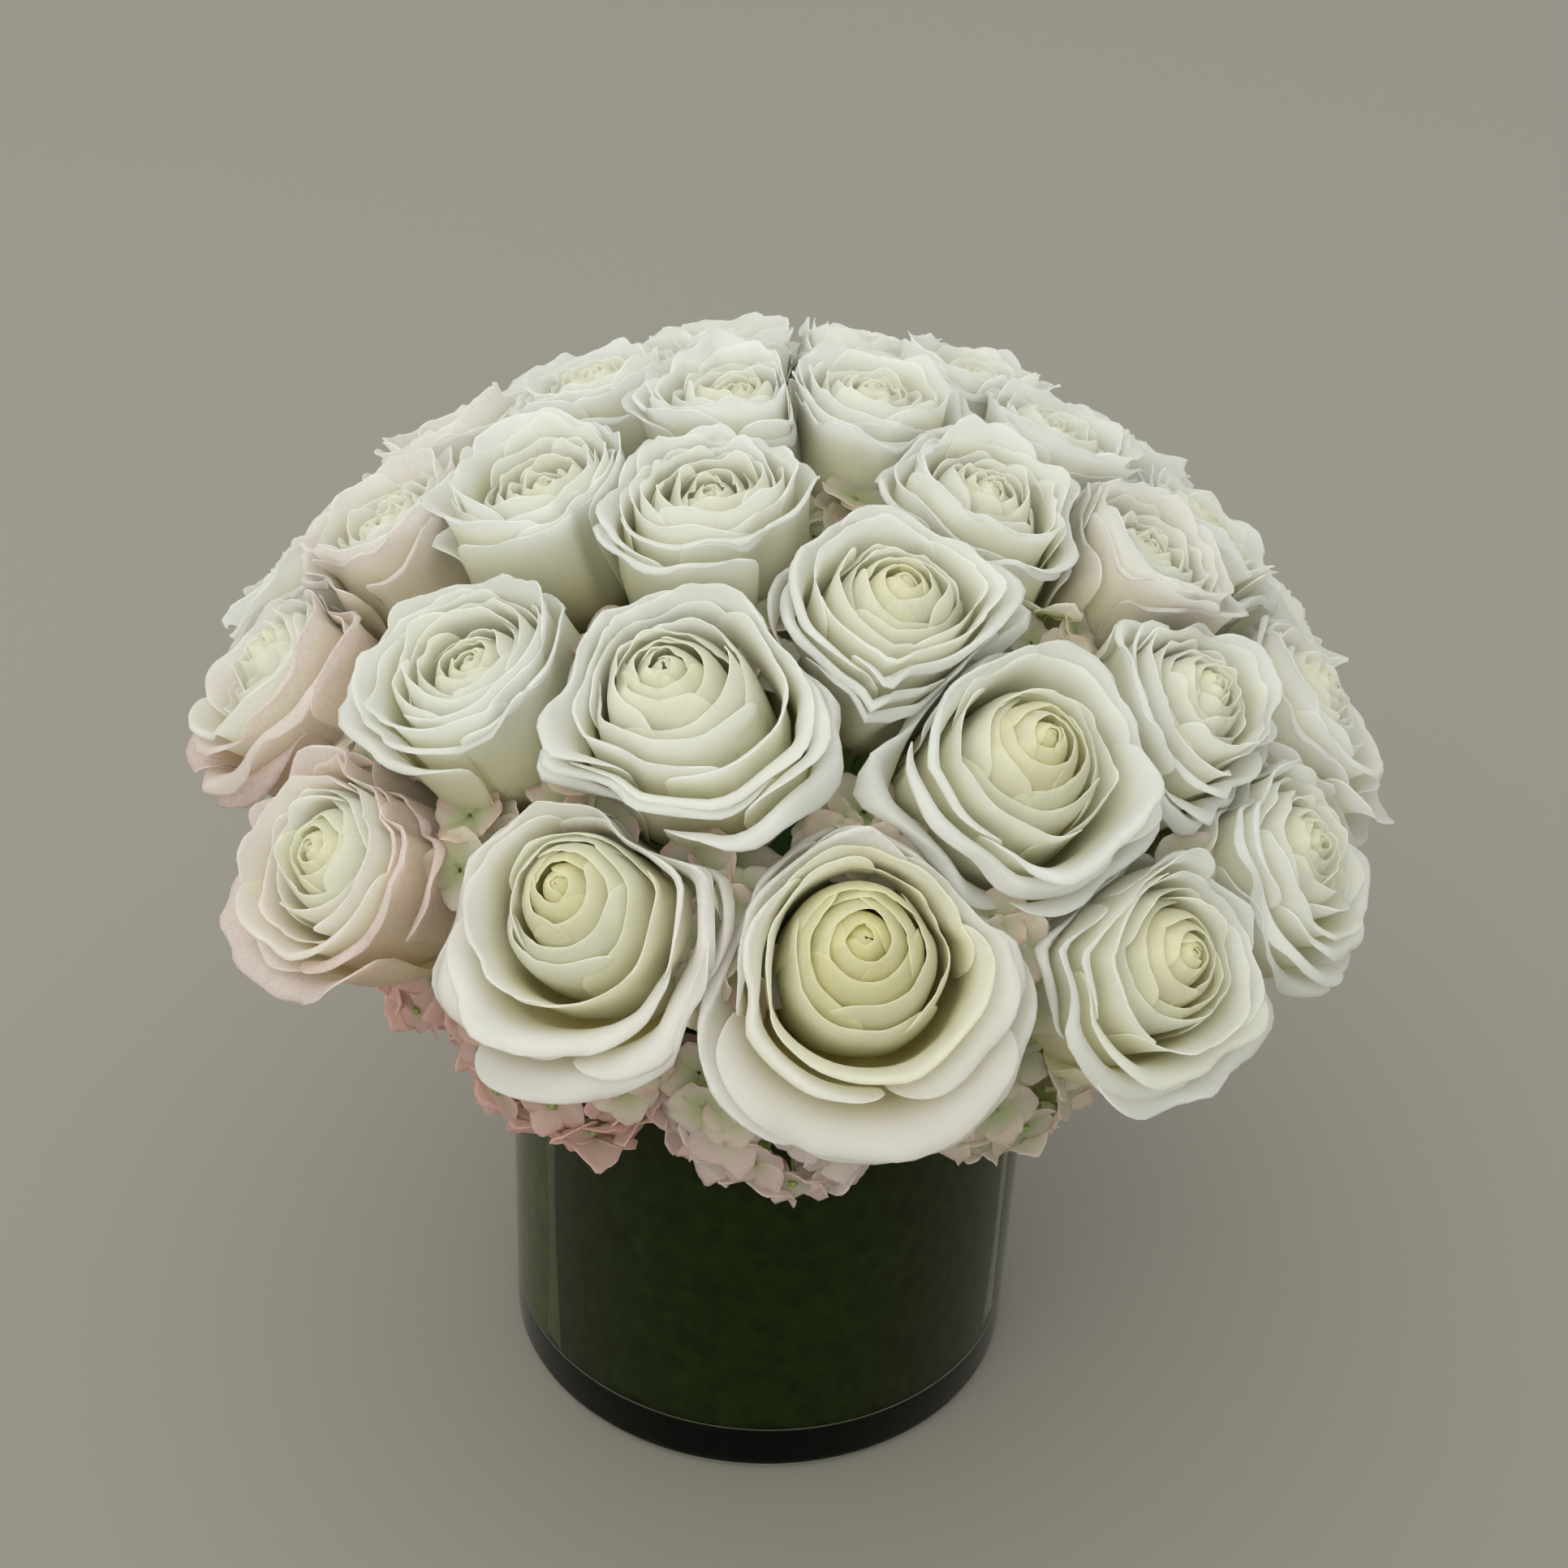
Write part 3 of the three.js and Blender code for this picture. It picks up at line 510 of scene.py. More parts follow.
def rose_petals(rose):
    draw = np.random.default_rng(rose["number"])
    cone = cone_of(rose)
    full_radius = rose["diameter"] / 2 * PRESS
    steps = np.linspace(0, 1, PETALS)
    order = steps[:, None, None]

    def measure(key):
        bud = np.interp(steps, PETAL_STEPS, CLOSED_BUD[key])
        bloom = np.interp(steps, PETAL_STEPS, FULL_BLOOM[key])
        return mix(bud, bloom, rose["open"])[:, None, None]

    def vary(spread):
        return draw.uniform(-spread, spread, (PETALS, 1, 1))

    outer = order**OUTER_CURVE
    freedom = np.minimum(FREEDOM * outer, 1)
    rim = measure("rim") * full_radius * (1 + vary(VARY["rim"]) + vary(VARY["outer rim"]) * freedom)
    belly = measure("belly") * full_radius
    crest = measure("crest") * rose["height"] + vary(VARY["crest mm"]) * freedom
    droop = measure("droop") * rose["height"] * (1 + vary(VARY["droop"]))
    reflex = measure("reflex")
    half_turn = np.radians(measure("half_turn")) * (1 + vary(VARY["half turn"]))
    hand = 1 if rose["number"] % 2 else -1

    # The petal's line from root to tip: up the cup, then closed over or laid back.
    to_rim = mix(belly, rim, mix(*OUT_TO_RIM, reflex))
    tip = rim + mix(mix(*LIP, outer), 0, reflex)
    radius_knots = np.concatenate([OUT_TO_BELLY * belly, to_rim, tip], axis=-1)
    height_knots = mix(*UP_TO_CREST, reflex) * crest - DROOPING * reflex * droop
    across, along = petal_grid()
    point = TIP_POINT * outer * (1 + vary(VARY["point"]))
    rounded = np.sqrt(1 - np.abs(across) ** (SQUARENESS + vary(VARY["squareness"])))
    sides = mix(HEART_SIDE_LENGTH, SIDE_LENGTH, np.minimum(order * HEART_ENDS, 1))
    outline = mix(sides, 1, rounded) + point * np.exp(-((across / TIP_WIDTH) ** 2))
    share = along * outline
    radius = smooth_through(radius_knots, share)
    height = smooth_through(height_knots, share)
    # No petal stands quite straight: one side is higher, and the whole leans in or out.
    wrapping = np.exp(-(((order - WRAPPING[0]) / WRAPPING[1]) ** 2))
    tilt = vary(1) * mix(*TILT, outer) - hand * WRAP_TILT * wrapping
    height = height + tilt * across * share**2
    radius = radius * (1 + vary(VARY["lean"]) * share**2)

    # Side edges: one lies outside its neighbour and one inside, and the outer petals' edges roll under.
    overlap = mix(*OVERLAP, outer) * np.clip(order * TIGHT_HEART, LEAST_OVERLAP, 1)
    radius = radius + hand * across * overlap * np.minimum(1, share * 2)
    sharpness = ROLL_SHARPNESS + vary(VARY["sharpness"])
    roll = mix(*ROLL, outer) * (1 + vary(VARY["roll"])) * np.abs(across) ** sharpness * share**2
    radius = radius + ROLLED_OUT * roll
    height = height - roll
    crumple = rose["crumple"] * np.minimum(order * TIGHT_HEART, 1)
    for waves, inner_size, size, edge in RIPPLES:
        count = waves * (1 + vary(VARY["waves"]))
        phase = vary(math.pi)
        ripple = np.sin(math.pi * count * across + phase) * share**edge
        ripple = ripple * mix(mix(NEAT_RIPPLE, inner_size, crumple), size, outer)
        height = height + ripple
        radius = radius + ripple / 2
    crease = np.exp(-(((across - vary(VARY["crease"])) / CREASE_WIDTH) ** 2)) * share**2 * (1 - share**6)
    radius = radius + vary(VARY["crease mm"]) * crease * outer
    width = NARROW_ROOT + (1 - NARROW_ROOT) * np.sin(np.minimum(share / WIDE_FROM, 1) * math.pi / 2)
    turn = hand * GOLDEN_TURN * np.arange(PETALS)[:, None, None] + vary(VARY["turn"])
    angle = turn + draw.uniform(0, 2 * math.pi) + across * half_turn * width
    height = height - SAG * np.maximum(-np.sin(angle), 0) * share**2 * outer * rose["open"]

    shape = radius.shape
    radius = np.maximum(radius, LEAST_RADIUS)
    flat = [np.broadcast_to(value, shape).reshape(-1) for value in (angle, radius, height)]
    points = hold_inside(rose, cone, *flat).reshape(shape + (3,))
    right, up = frame_about(rose["axis"])
    shift = np.clip(HEART_MOVES[0] - HEART_MOVES[1] * order, 0, 1) * np.minimum(share * ROOT_STAYS, 1)
    points = points + shift[..., None] * (rose["heart"][0] * right + rose["heart"][1] * up)
    tinged = np.clip(order * BLUSHING[0] - BLUSHING[1] + vary(VARY["blush"]), 0, 1)
    values = {
        "along": share,
        "across": 0.5 + 0.5 * across,
        "layer": order,
        "blush": rose["blush"] * tinged,
        "shade": 0.5 + vary(VARY["shade"]),
        "warmth": rose["warmth"],
    }
    thin_heart, thick_outside, thin_tip = THICK_AND_THIN
    thickness = THICKNESS * mix(thin_heart, thick_outside, outer) * (1 - thin_tip * share**4)
    return thicken(points, thickness, values)


print("points in one side of a petal:", COLUMNS * ROWS, "and petals in a rose:", PETALS)

# %% [markdown]
# Under the petals sits the green hip with five narrow sepals that have folded down, and a stem that runs into
# the foam. They grew as one with the bloom, but their finish is a leaf's, so they are a piece of their own. A
# tube with a radius for each point of its line makes stem and hip in one.

# %% Hips, sepals and stems
STEM_SIDES = 10
STEM_END = ([0.0, 0.3], [0.05, 0.86])  # mm along the stem, and its radius there as a share of its usual one
STEM_STATIONS, STEM_SHARE = 8, 0.92
STEM_INSET = (3.0, 4.0)  # where the even stations begin and end, mm
HIP = ([-2.5, -0.5, 2.0, 4.0, 5.5], [1.1, 1.9, 2.5, 2.3, 0.1])  # the same, from the bloom's base
SEPALS = 5
SEPAL_COLUMNS, SEPAL_ROWS = 5, 8
SEPAL_LENGTH, SEPAL_SPREAD = 17.0, 0.72  # and how much of its length goes outwards
SEPAL_WIDTH = 5.0
SEPAL_SWELL = (0.8, 0.17, 1.2)  # which part of a sine its width follows, and how pointed it is
SEPAL_THICKNESS = 0.5
SEPAL_ROOT, SEPAL_KEEL = 5.4, 1.2  # how far from the stem's middle line it starts, and how it cups, mm
SEPAL_LIFT, SEPAL_ARCH, SEPAL_BEND = 1.5, 7.0, 2.6
SEPAL_DROP = (-2, 1)
SEPAL_JITTER = 0.2
STEM_SEED = 500
STEM_GREEN = {"along": 0.4, "across": 0.5, "layer": 0.0}


def stem_end(rose, cone):
    narrowest = float((cone[0] @ rose["stem_line"]).min())
    return max(STEM_SHORTEST, (STEM_RADIUS + STEM_CLEARANCE + GAP) / narrowest)


def rose_green(rose):
    cone = cone_of(rose)
    start, stop = stem_end(rose, cone), rose["base_distance"]
    middle = np.linspace(start + STEM_INSET[0], stop - STEM_INSET[1], STEM_STATIONS)
    stations = np.concatenate([start + np.array(STEM_END[0]), middle, stop + np.array(HIP[0])])
    radii = np.concatenate([STEM_END[1], np.full(STEM_STATIONS, STEM_SHARE), HIP[1]]) * STEM_RADIUS
    centres = FOCUS + stations[:, None] * rose["stem_line"]
    draw = np.random.default_rng(STEM_SEED + rose["number"])
    each = (SEPALS, 1, 1)
    across = np.linspace(-1, 1, SEPAL_COLUMNS)[None, :, None]
    along = np.linspace(0, 1, SEPAL_ROWS)[None, None, :]
    jitter = draw.uniform(-SEPAL_JITTER, SEPAL_JITTER, each)
    turn = (np.arange(SEPALS)[:, None, None] + jitter) * 2 * math.pi / SEPALS
    part_of_sine, start_of_sine, pointed = SEPAL_SWELL
    swell = np.sin(np.pi * np.clip(along * part_of_sine + start_of_sine, 0, 1))
    width = SEPAL_WIDTH * swell**pointed
    radius = SEPAL_ROOT + SEPAL_LENGTH * along * SEPAL_SPREAD - SEPAL_KEEL * across**2
    height = SEPAL_LIFT + SEPAL_ARCH * np.sin(along * SEPAL_BEND) - SEPAL_ARCH * along**2
    height = height + draw.uniform(*SEPAL_DROP, each) * along
    angle = turn + across * width / np.maximum(radius, 1)
    shape = np.broadcast_shapes(angle.shape, radius.shape, height.shape)
    flat = [np.broadcast_to(value, shape).reshape(-1) for value in (angle, radius, height)]
    points = hold_inside(rose, cone, *flat).reshape(shape + (3,))
    sepals = thicken(points, SEPAL_THICKNESS, {"along": along, "across": 0.5 + 0.5 * across, "layer": 1.0})
    return [sweep(centres, radii, STEM_SIDES, STEM_GREEN), sepals]


print("mm from the focus to where a stem starts:", round(stem_end(ROSES[0], cone_of(ROSES[0])), 1))

# %% [markdown]
# Hydrangea heads close the gap between the lowest roses and the glass. A head is a ball of florets, and each
# floret has four broad papery sepals round a pinhead bud. They are spread evenly over the head by the golden
# turn and then turned and tipped a little, since no two face the same way. Instancing one floret would be
# quicker, but then all would bend alike.

# %% Hydrangea heads
HEADS = 10
HEAD_FIRST = 2.0
HEAD_RADIUS = 90.0
HEAD_Z = 150.5
HEAD_SHELL = np.array([28.0, 21.0, 25.0])
HEAD_STEM_Z = 154.0
HEAD_STEM_INNER = 57.0
FLORETS = 48
FLORET_SIZE = 9.6
FLORET_COLUMNS, FLORET_ROWS = 9, 8
FLORET_THICKNESS = 0.26
LOBES = 4
LOBE_JITTER = 0.12  # how unevenly they turn and reach
LOBE_SHOULDERS, LOBE_SQUARENESS = 0.34, 2.6  # how much shorter it is at its sides, and how squarely
LOBE_SCALLOP = (0.03, 7)
LOBE_FOOT, LOBE_WIDTH, LOBE_SWELL = 0.06, 0.6, (0.6, 0.12, 0.7)
LOBE_CUP, LOBE_KEEL, LOBE_TWIST = (0.012, 0.035), 0.05, 0.25
LOBE_WAVES = ((0.55, 3.4, 2), (0.25, 8, 4))  # mm, radians across half a lobe, and how near the rim
LOBE_BLUSH = 0.9
BACK_OF_HEAD = -0.35  # no florets grow behind this share of the ball
SEAT_JITTER, FACING_JITTER, SIZE_JITTER = 0.07, 0.16, 0.14
SKIRT_CLEARANCE, SKIRT_EASE = 0.6, 5
EYE = ([-0.2, 0.0, 0.7, 1.3, 1.5], [0.3, 0.9, 1.1, 0.7, 0.05])  # mm out from the floret's seat, and radius
EYE_SIDES, STALK_SIDES = 8, 5
STALK_RADII = [1.0, 0.7, 0.45]
STALK_FROM, STALK_BEND, STALK_TOP = 0.25, 0.8, 0.2  # share of the way out, and mm
HEAD_NECK = 12  # how far inside the head's middle its stem starts to swell, mm
HEAD_STEM_ENDS = (0.4, 4)  # how soon the stem's two ends close, mm
HEAD_SEED = 100
HEAD_STEM_RADII = [0.05, 2.3, 2.4, 2.5, 3.4, 0.1]
STALK_GREEN = {"along": 0.6, "across": 0.5, "layer": 0.0}
EYE_GREEN = {"along": 0.9, "across": 0.5, "layer": 1.0}


def floret_sheet(seat, facing, size, spin, draw):
    """Four sepals round a seat, cupped towards the way that the floret faces."""

    def each(low, high):
        return draw.uniform(low, high, (LOBES, 1, 1))

    across = np.linspace(-1, 1, FLORET_COLUMNS)[None, :, None]
    along = np.linspace(0, 1, FLORET_ROWS)[None, None, :]
    turn = spin + (np.arange(LOBES)[:, None, None] + each(-LOBE_JITTER, LOBE_JITTER)) * math.pi / 2
    reach = size * (1 + each(-LOBE_JITTER, LOBE_JITTER))
    scallop, scallops = LOBE_SCALLOP
    outline = 1 - LOBE_SHOULDERS * np.abs(across) ** LOBE_SQUARENESS
    outline = outline + scallop * np.cos(scallops * across + each(-1, 1))
    distance = reach * (LOBE_FOOT + (1 - LOBE_FOOT) * along) * outline
    part_of_sine, start_of_sine, rounded = LOBE_SWELL
    half_width = reach * LOBE_WIDTH * np.sin((along * part_of_sine + start_of_sine) * math.pi) ** rounded
    side = across * half_width
    lift = each(*LOBE_CUP) * distance**2 - LOBE_KEEL * size * np.abs(across) ** 2
    waves = sum(high * np.sin(count * across + each(0, 6)) * along**edge for high, count, edge in LOBE_WAVES)
    lift = lift + waves + LOBE_TWIST * across
    left, top = frame_about(facing)
    ahead = np.cos(turn)[..., None] * left + np.sin(turn)[..., None] * top
    beside = -np.sin(turn)[..., None] * left + np.cos(turn)[..., None] * top
    grid = seat + distance[..., None] * ahead + side[..., None] * beside + lift[..., None] * facing
    values = {
        "along": along + 0 * distance,
        "across": 0.5 + 0.5 * across + 0 * distance,
        "layer": 0 * distance,
        "blush": draw.uniform(0, LOBE_BLUSH) * along**2 + 0 * distance,
        "shade": draw.uniform(0, 1) + 0 * distance,
        "warmth": 0 * distance,
    }
    return grid, values


def join_florets(sheets):
    """The grids of many florets as one array, and their values likewise."""
    grids, values = zip(*sheets)
    merged = {key: np.concatenate([value[key] for value in values]) for key in values[0]}
    return np.concatenate(grids), merged


def below_skirt(points):
    """Holds florets under the roses: nothing of them rises over the skirt's edge, seen from the focus."""
    from_focus = points - FOCUS
    level = np.linalg.norm(from_focus[..., :2], axis=-1)
    limit = level * math.tan(math.radians(SKIRT_EDGE)) - SKIRT_CLEARANCE
    over = np.maximum(from_focus[..., 2] - (limit - SKIRT_EASE), 0)
    eased = limit - SKIRT_EASE + SKIRT_EASE * (1 - np.exp(-over / SKIRT_EASE))
    lowered = points.copy()
    lowered[..., 2] = FOCUS[2] + np.where(over > 0, eased, from_focus[..., 2])
    return lowered


def hydrangea_head(index):
    draw = np.random.default_rng(HEAD_SEED + index)
    outward = direction(HEAD_FIRST + 360 / HEADS * index, 0)
    sideways = np.cross(outward, UP)
    centre = outward * HEAD_RADIUS + UP * HEAD_Z
    sheets, stalks = [], []
    for k in range(FLORETS):
        rise = 1 - 2 * (k + 0.5) / FLORETS
        turn = k * GOLDEN_TURN
        level = math.sqrt(1 - rise * rise)
        ball = np.array([level * math.cos(turn), level * math.sin(turn), rise])
        ball = ball + draw.normal(0, SEAT_JITTER, 3)
        if ball[1] < BACK_OF_HEAD:
            continue
        out = unit(ball) * HEAD_SHELL
        seat = centre + sideways * out[0] + outward * out[1] + UP * out[2]
        lean = unit(ball / HEAD_SHELL)
        facing = sideways * lean[0] + outward * lean[1] + UP * lean[2]
        facing = unit(facing + draw.normal(0, FACING_JITTER, 3))
        size = FLORET_SIZE * (1 + draw.uniform(-SIZE_JITTER, SIZE_JITTER))
        sheets.append(floret_sheet(seat, facing, size, draw.uniform(0, math.pi), draw))
        root = centre + (seat - centre) * STALK_FROM
        bend = (seat + root) / 2 + draw.normal(0, STALK_BEND, 3)
        stalks.append(sweep([root, bend, seat - facing * STALK_TOP], STALK_RADII, STALK_SIDES, STALK_GREEN))
        eye = seat + np.array(EYE[0])[:, None] * facing
        stalks.append(sweep(eye, EYE[1], EYE_SIDES, EYE_GREEN))
    grids, merged = join_florets(sheets)
    inner = outward * HEAD_STEM_INNER + UP * HEAD_STEM_Z
    neck = outward * (HEAD_RADIUS - HEAD_NECK) + UP * HEAD_STEM_Z
    first, last = (outward * length for length in HEAD_STEM_ENDS)
    main = [inner, inner + first, (inner + neck) / 2, neck, centre, centre + last]
    stalks.append(sweep(main, HEAD_STEM_RADII, STEM_SIDES, {**STEM_GREEN, "along": 0.3}))
    for part in stalks:
        part["points"] = below_skirt(part["points"])
    return thicken(below_skirt(grids), FLORET_THICKNESS, merged), stalks


print("hydrangea heads:", HEADS, "with up to so many florets each:", FLORETS)

# %% [markdown]
# Small tufts of the same hydrangea reach up between the roses, where three blooms leave a corner open, and
# close the dark gaps there. The corners that the photograph shows are named by their roses, and the widest of
# the others are found by looking at many directions from the focus. Each tuft stays below the roses' rims.

# %% Tufts between the roses
TUFTS = 44
TUFT_GROUPS = 4
SEEN_CORNERS = [(2, 3, 8), (3, 8, 10), (1, 2, 7), (2, 7, 8), (3, 4, 10), (7, 8, 15), (8, 9, 15), (4, 5, 11)]
SEEN_CORNERS += [(2, 3)]
TUFT_SPACING = 7.5
TUFT_REACH = ([20, 30], [125.0, 157.0])  # how far from the focus, mm, by the degrees up from level
TUFT_LOWEST = 20.0
TUFT_FLORETS = 5
TUFT_FLORET_SIZE, TUFT_SIZES = 8.5, (-1, 1.5)
TUFT_TURNS, TUFT_DEPTHS, TUFT_SPINS = (-0.5, 0.5), (-5, 3), (0, 3)
TUFT_SPLAY, TUFT_FACING_JITTER, TUFT_STALK_BOW = 0.05, 0.15, 0.1
TUFT_STALK_RADII = [1.1, 0.8, 0.45]
TUFT_SEED = 70
TUFT_WIDTH = 6.5  # how far its florets sit from its middle line, mm
TUFT_ROOT = 45  # how far under its florets a tuft's stalks meet, mm
DIRECTIONS_TRIED = 4000


def open_corners():
    """The directions with the most room between the roses, the widest first, and well apart."""
    k = np.arange(DIRECTIONS_TRIED)
    rise = 1 - (k + 0.5) / DIRECTIONS_TRIED * (1 - math.sin(math.radians(TUFT_LOWEST)))
    level = np.sqrt(1 - rise**2)
    tried = np.stack([level * np.cos(k * GOLDEN_TURN), level * np.sin(k * GOLDEN_TURN), rise], -1)
    lines = np.array([rose["stem_line"] for rose in ROSES])
    spreads = np.array([rose["spread"] for rose in ROSES])
    room = (np.arccos(np.clip(tried @ lines.T, -1, 1)) - spreads).min(axis=1)
    line = {rose["number"]: rose["stem_line"] for rose in ROSES}
    chosen = [unit(sum(line[number] for number in corner)) for corner in SEEN_CORNERS]
    for place in np.argsort(-room):
        if all(tried[place] @ other < math.cos(math.radians(TUFT_SPACING)) for other in chosen):
            chosen.append(tried[place])
        if len(chosen) == TUFTS:
            break
    return chosen


def hydrangea_tufts(headings, seed):
    draw = np.random.default_rng(seed)
    sheets, stalks = [], []
    for heading in headings:
        left, top = frame_about(heading)
        reach = float(np.interp(math.degrees(math.asin(heading[2])), *TUFT_REACH))
        for k in range(TUFT_FLORETS):
            turn = 2 * math.pi * k / TUFT_FLORETS + draw.uniform(*TUFT_TURNS)
            aside = TUFT_WIDTH * (math.cos(turn) * left + math.sin(turn) * top)
            seat = FOCUS + heading * (reach + draw.uniform(*TUFT_DEPTHS)) + aside
            facing = unit(heading + aside * TUFT_SPLAY + draw.normal(0, TUFT_FACING_JITTER, 3))
            size = TUFT_FLORET_SIZE + draw.uniform(*TUFT_SIZES)
            sheets.append(floret_sheet(seat, facing, size, draw.uniform(*TUFT_SPINS), draw))
            root = FOCUS + heading * (reach - TUFT_ROOT)
            stalk = [root, (root + seat) / 2 + aside * TUFT_STALK_BOW, seat - facing * STALK_TOP]
            stalks.append(sweep(stalk, TUFT_STALK_RADII, STALK_SIDES, STALK_GREEN))
    grids, merged = join_florets(sheets)
    return thicken(grids, FLORET_THICKNESS, merged), stalks


corners = open_corners()
print("open corners:", len(corners))

# %% [markdown]
# The vase is blown glass with a thick floor: one outline of its outside, its rim and its inside, spun round
# the axis as on a lathe. The rim and the heel are fire-polished, so both are round, and the floor meets the
# wall in a soft curve. All of that is what bends the dark lining into bands near the foot.

# %% The glass cylinder
VASE = {"radius": 75.0, "height": 150.0, "wall": 3.0, "floor": 12.0, "heel": 4.0}
VASE_SIDES = 144
UNDERSIDE = [(0.01, 0.9), (20.0, 0.9), (45.0, 0.7), (58.0, 0.25), (63.0, 0.0)]
FLOOR_DISH = [(55.0, 0.2), (30.0, 0.1), (0.01, 0.0)]  # how far out, and how far below the floor's middle
WALL_STEPS, HEEL_STEPS, RIM_STEPS = 8, 9, 11
RIM_ZONE, OUTER_FROM, INNER_FROM = 12, 15, 6  # where the straight walls end below the rim, and start, mm


def arc(centre, radius, start, stop, steps):
    turn = np.radians(np.linspace(start, stop, steps))
    return [(centre[0] + radius * math.cos(a), centre[1] + radius * math.sin(a)) for a in turn]


def vase_outline():
    radius, height, wall = VASE["radius"], VASE["height"], VASE["wall"]
    floor, heel = VASE["floor"], VASE["heel"]
    inner, top = radius - wall, height - RIM_ZONE
    outline = UNDERSIDE + arc((radius - heel, heel), heel, -90, 0, HEEL_STEPS)
    outline += [(radius, z) for z in np.linspace(OUTER_FROM, top, WALL_STEPS)]
    outline += arc((radius - wall / 2, height - wall / 2), wall / 2, 0, 180, RIM_STEPS)
    outline += [(inner, z) for z in np.linspace(top, floor + heel + INNER_FROM, WALL_STEPS)]
    outline += arc((inner - heel, floor + heel), heel, 0, -90, HEEL_STEPS)
    return np.array(outline + [(out, floor - dish) for out, dish in FLOOR_DISH])


def spin(outline, sides, values):
    turn = np.linspace(0, 2 * np.pi, sides, endpoint=False)
    level = np.outer(outline[:, 0], np.cos(turn)), np.outer(outline[:, 0], np.sin(turn))
    return ring_part(np.stack([*level, np.repeat(outline[:, 1:], sides, axis=1)], axis=-1), sides, values)


print("points in the glass's outline:", len(vase_outline()))

# %% [markdown]
# Three broad leaves are rolled round the inside of the glass to hide the foam. Each is wet and clings to the
# glass with no air between, which is why the green fills the vase to its very edge. So the sheet starts a
# hair inside the glass. Its side edges bow, and one edge tucks under the next leaf.

# %% The leaf lining
LINING = {"bottom": 15.2, "top": 147.0, "thickness": 0.7}
LINING_RADII = (72.3, 71.3)  # at the free edge, and where the leaf tucks under the next one
LINING_TUCK = (0.83, 0.06)  # where across the leaf the tuck starts, and how soon it is complete
LINING_SPAN, LINING_BOW = 134.0, 2.0  # degrees
LINING_FIRST = -50.0
RIB_HEIGHT, RIB_WIDTH = 0.35, 0.008
RIPPLE_HEIGHT = 0.12
LINING_COLUMNS, LINING_ROWS = 97, 45
LEAF_TINTS = [0.15, 0.45, 0.95]  # the third is the paler leaf at the left of the seam


def lining_leaf(index):
    u = np.linspace(0, 1, LINING_COLUMNS)[None, :, None]
    v = np.linspace(0, 1, LINING_ROWS)[None, None, :]
    bulge = LINING_BOW * np.sin(math.pi * v) * (2 * u - 1)
    azimuth = np.radians(LINING_FIRST + 360 / len(LEAF_TINTS) * index + LINING_SPAN * u + bulge)
    rib = RIB_HEIGHT * np.exp(-(((u - 0.5) / RIB_WIDTH) ** 2))
    ripple = RIPPLE_HEIGHT * np.sin(9 * u + 4 * v + index) * np.sin(5 * v + 2 * index)
    tuck = np.clip((u - LINING_TUCK[0]) / LINING_TUCK[1], 0, 1)
    radius = mix(*LINING_RADII, tuck) - LINING["thickness"] / 2 + rib + ripple
    height = mix(LINING["bottom"], LINING["top"], v) + 0 * radius
    grid = np.stack([np.sin(azimuth) * radius, -np.cos(azimuth) * radius, height], axis=-1)
    return thicken(grid, LINING["thickness"], {"along": v, "across": u, "layer": LEAF_TINTS[index]})


flat_leaf = [LINING_RADII[0] * math.radians(LINING_SPAN), LINING["top"] - LINING["bottom"]]
print("a lining leaf laid flat, mm:", [round(side) for side in flat_leaf])

# %% [markdown]
# Finishes. Colours are read off the photograph as screen colours, and one function turns them to linear
# light. One more adds a node with its settings and links. The sizes of patterns are in millimetres, as on the
# real thing, and a texture's scale is how many of them go into a metre.

# %% Helpers for materials
TIMES, PLUS = {"operation": "MULTIPLY"}, {"operation": "ADD"}
COLOURS = {"data_type": "RGBA"}
UNDER, OVER, MIXED = 6, 7, 2  # the colour sockets of a Mix node
LAYERS_APART = 40.0  # so that no two petals have the same veins


def screen(code):
    """Linear colour from a screen colour such as #f4efe2."""
    parts = [int(code[i : i + 2], 16) / 255 for i in (1, 3, 5)]
    return tuple(c / 12.92 if c <= 0.04045 else ((c + 0.055) / 1.055) ** 2.4 for c in parts) + (1.0,)


def start_material(name):
    material = bpy.data.materials.new(name)
    material.use_nodes = True
    material.node_tree.nodes.clear()
    return material


def add(material, kind, settings=None, inputs=None, stops=(), output=0):
    """One node with its settings, a ramp's two stops, and inputs set or linked. Gives back an output."""
    node = material.node_tree.nodes.new("ShaderNode" + kind)
    for key, value in (settings or {}).items():
        setattr(node, key, value)
    for number, (place, code) in enumerate(stops):
        element = node.color_ramp.elements[number]
        element.position, element.color = place, screen(code)
    for key, value in (inputs or {}).items():
        if isinstance(value, bpy.types.NodeSocket):
            material.node_tree.links.new(value, node.inputs[key])
        else:
            node.inputs[key].default_value = value
    return node.outputs[output] if node.outputs else node


def per_metre(size):
    """A texture's scale from the size of its patches, in millimetres."""
    return 1 / (size * MM)


def veins(material, read, lines, stretch, detail):
    """Patches drawn out along a petal or leaf: so many across it, and so few along it."""
    counts = {"X": ("across", float(lines)), "Y": ("along", stretch), "Z": ("layer", LAYERS_APART)}
    place = {}
    for axis, (name, count) in counts.items():
        place[axis] = add(material, "Math", TIMES, {0: read[name], 1: count})
    where = add(material, "CombineXYZ", inputs=place)
    return add(material, "TexNoise", inputs={"Vector": where, "Scale": 1.0, "Detail": detail})


print("a middle grey on the screen, as linear light:", round(screen("#808080")[0], 3))

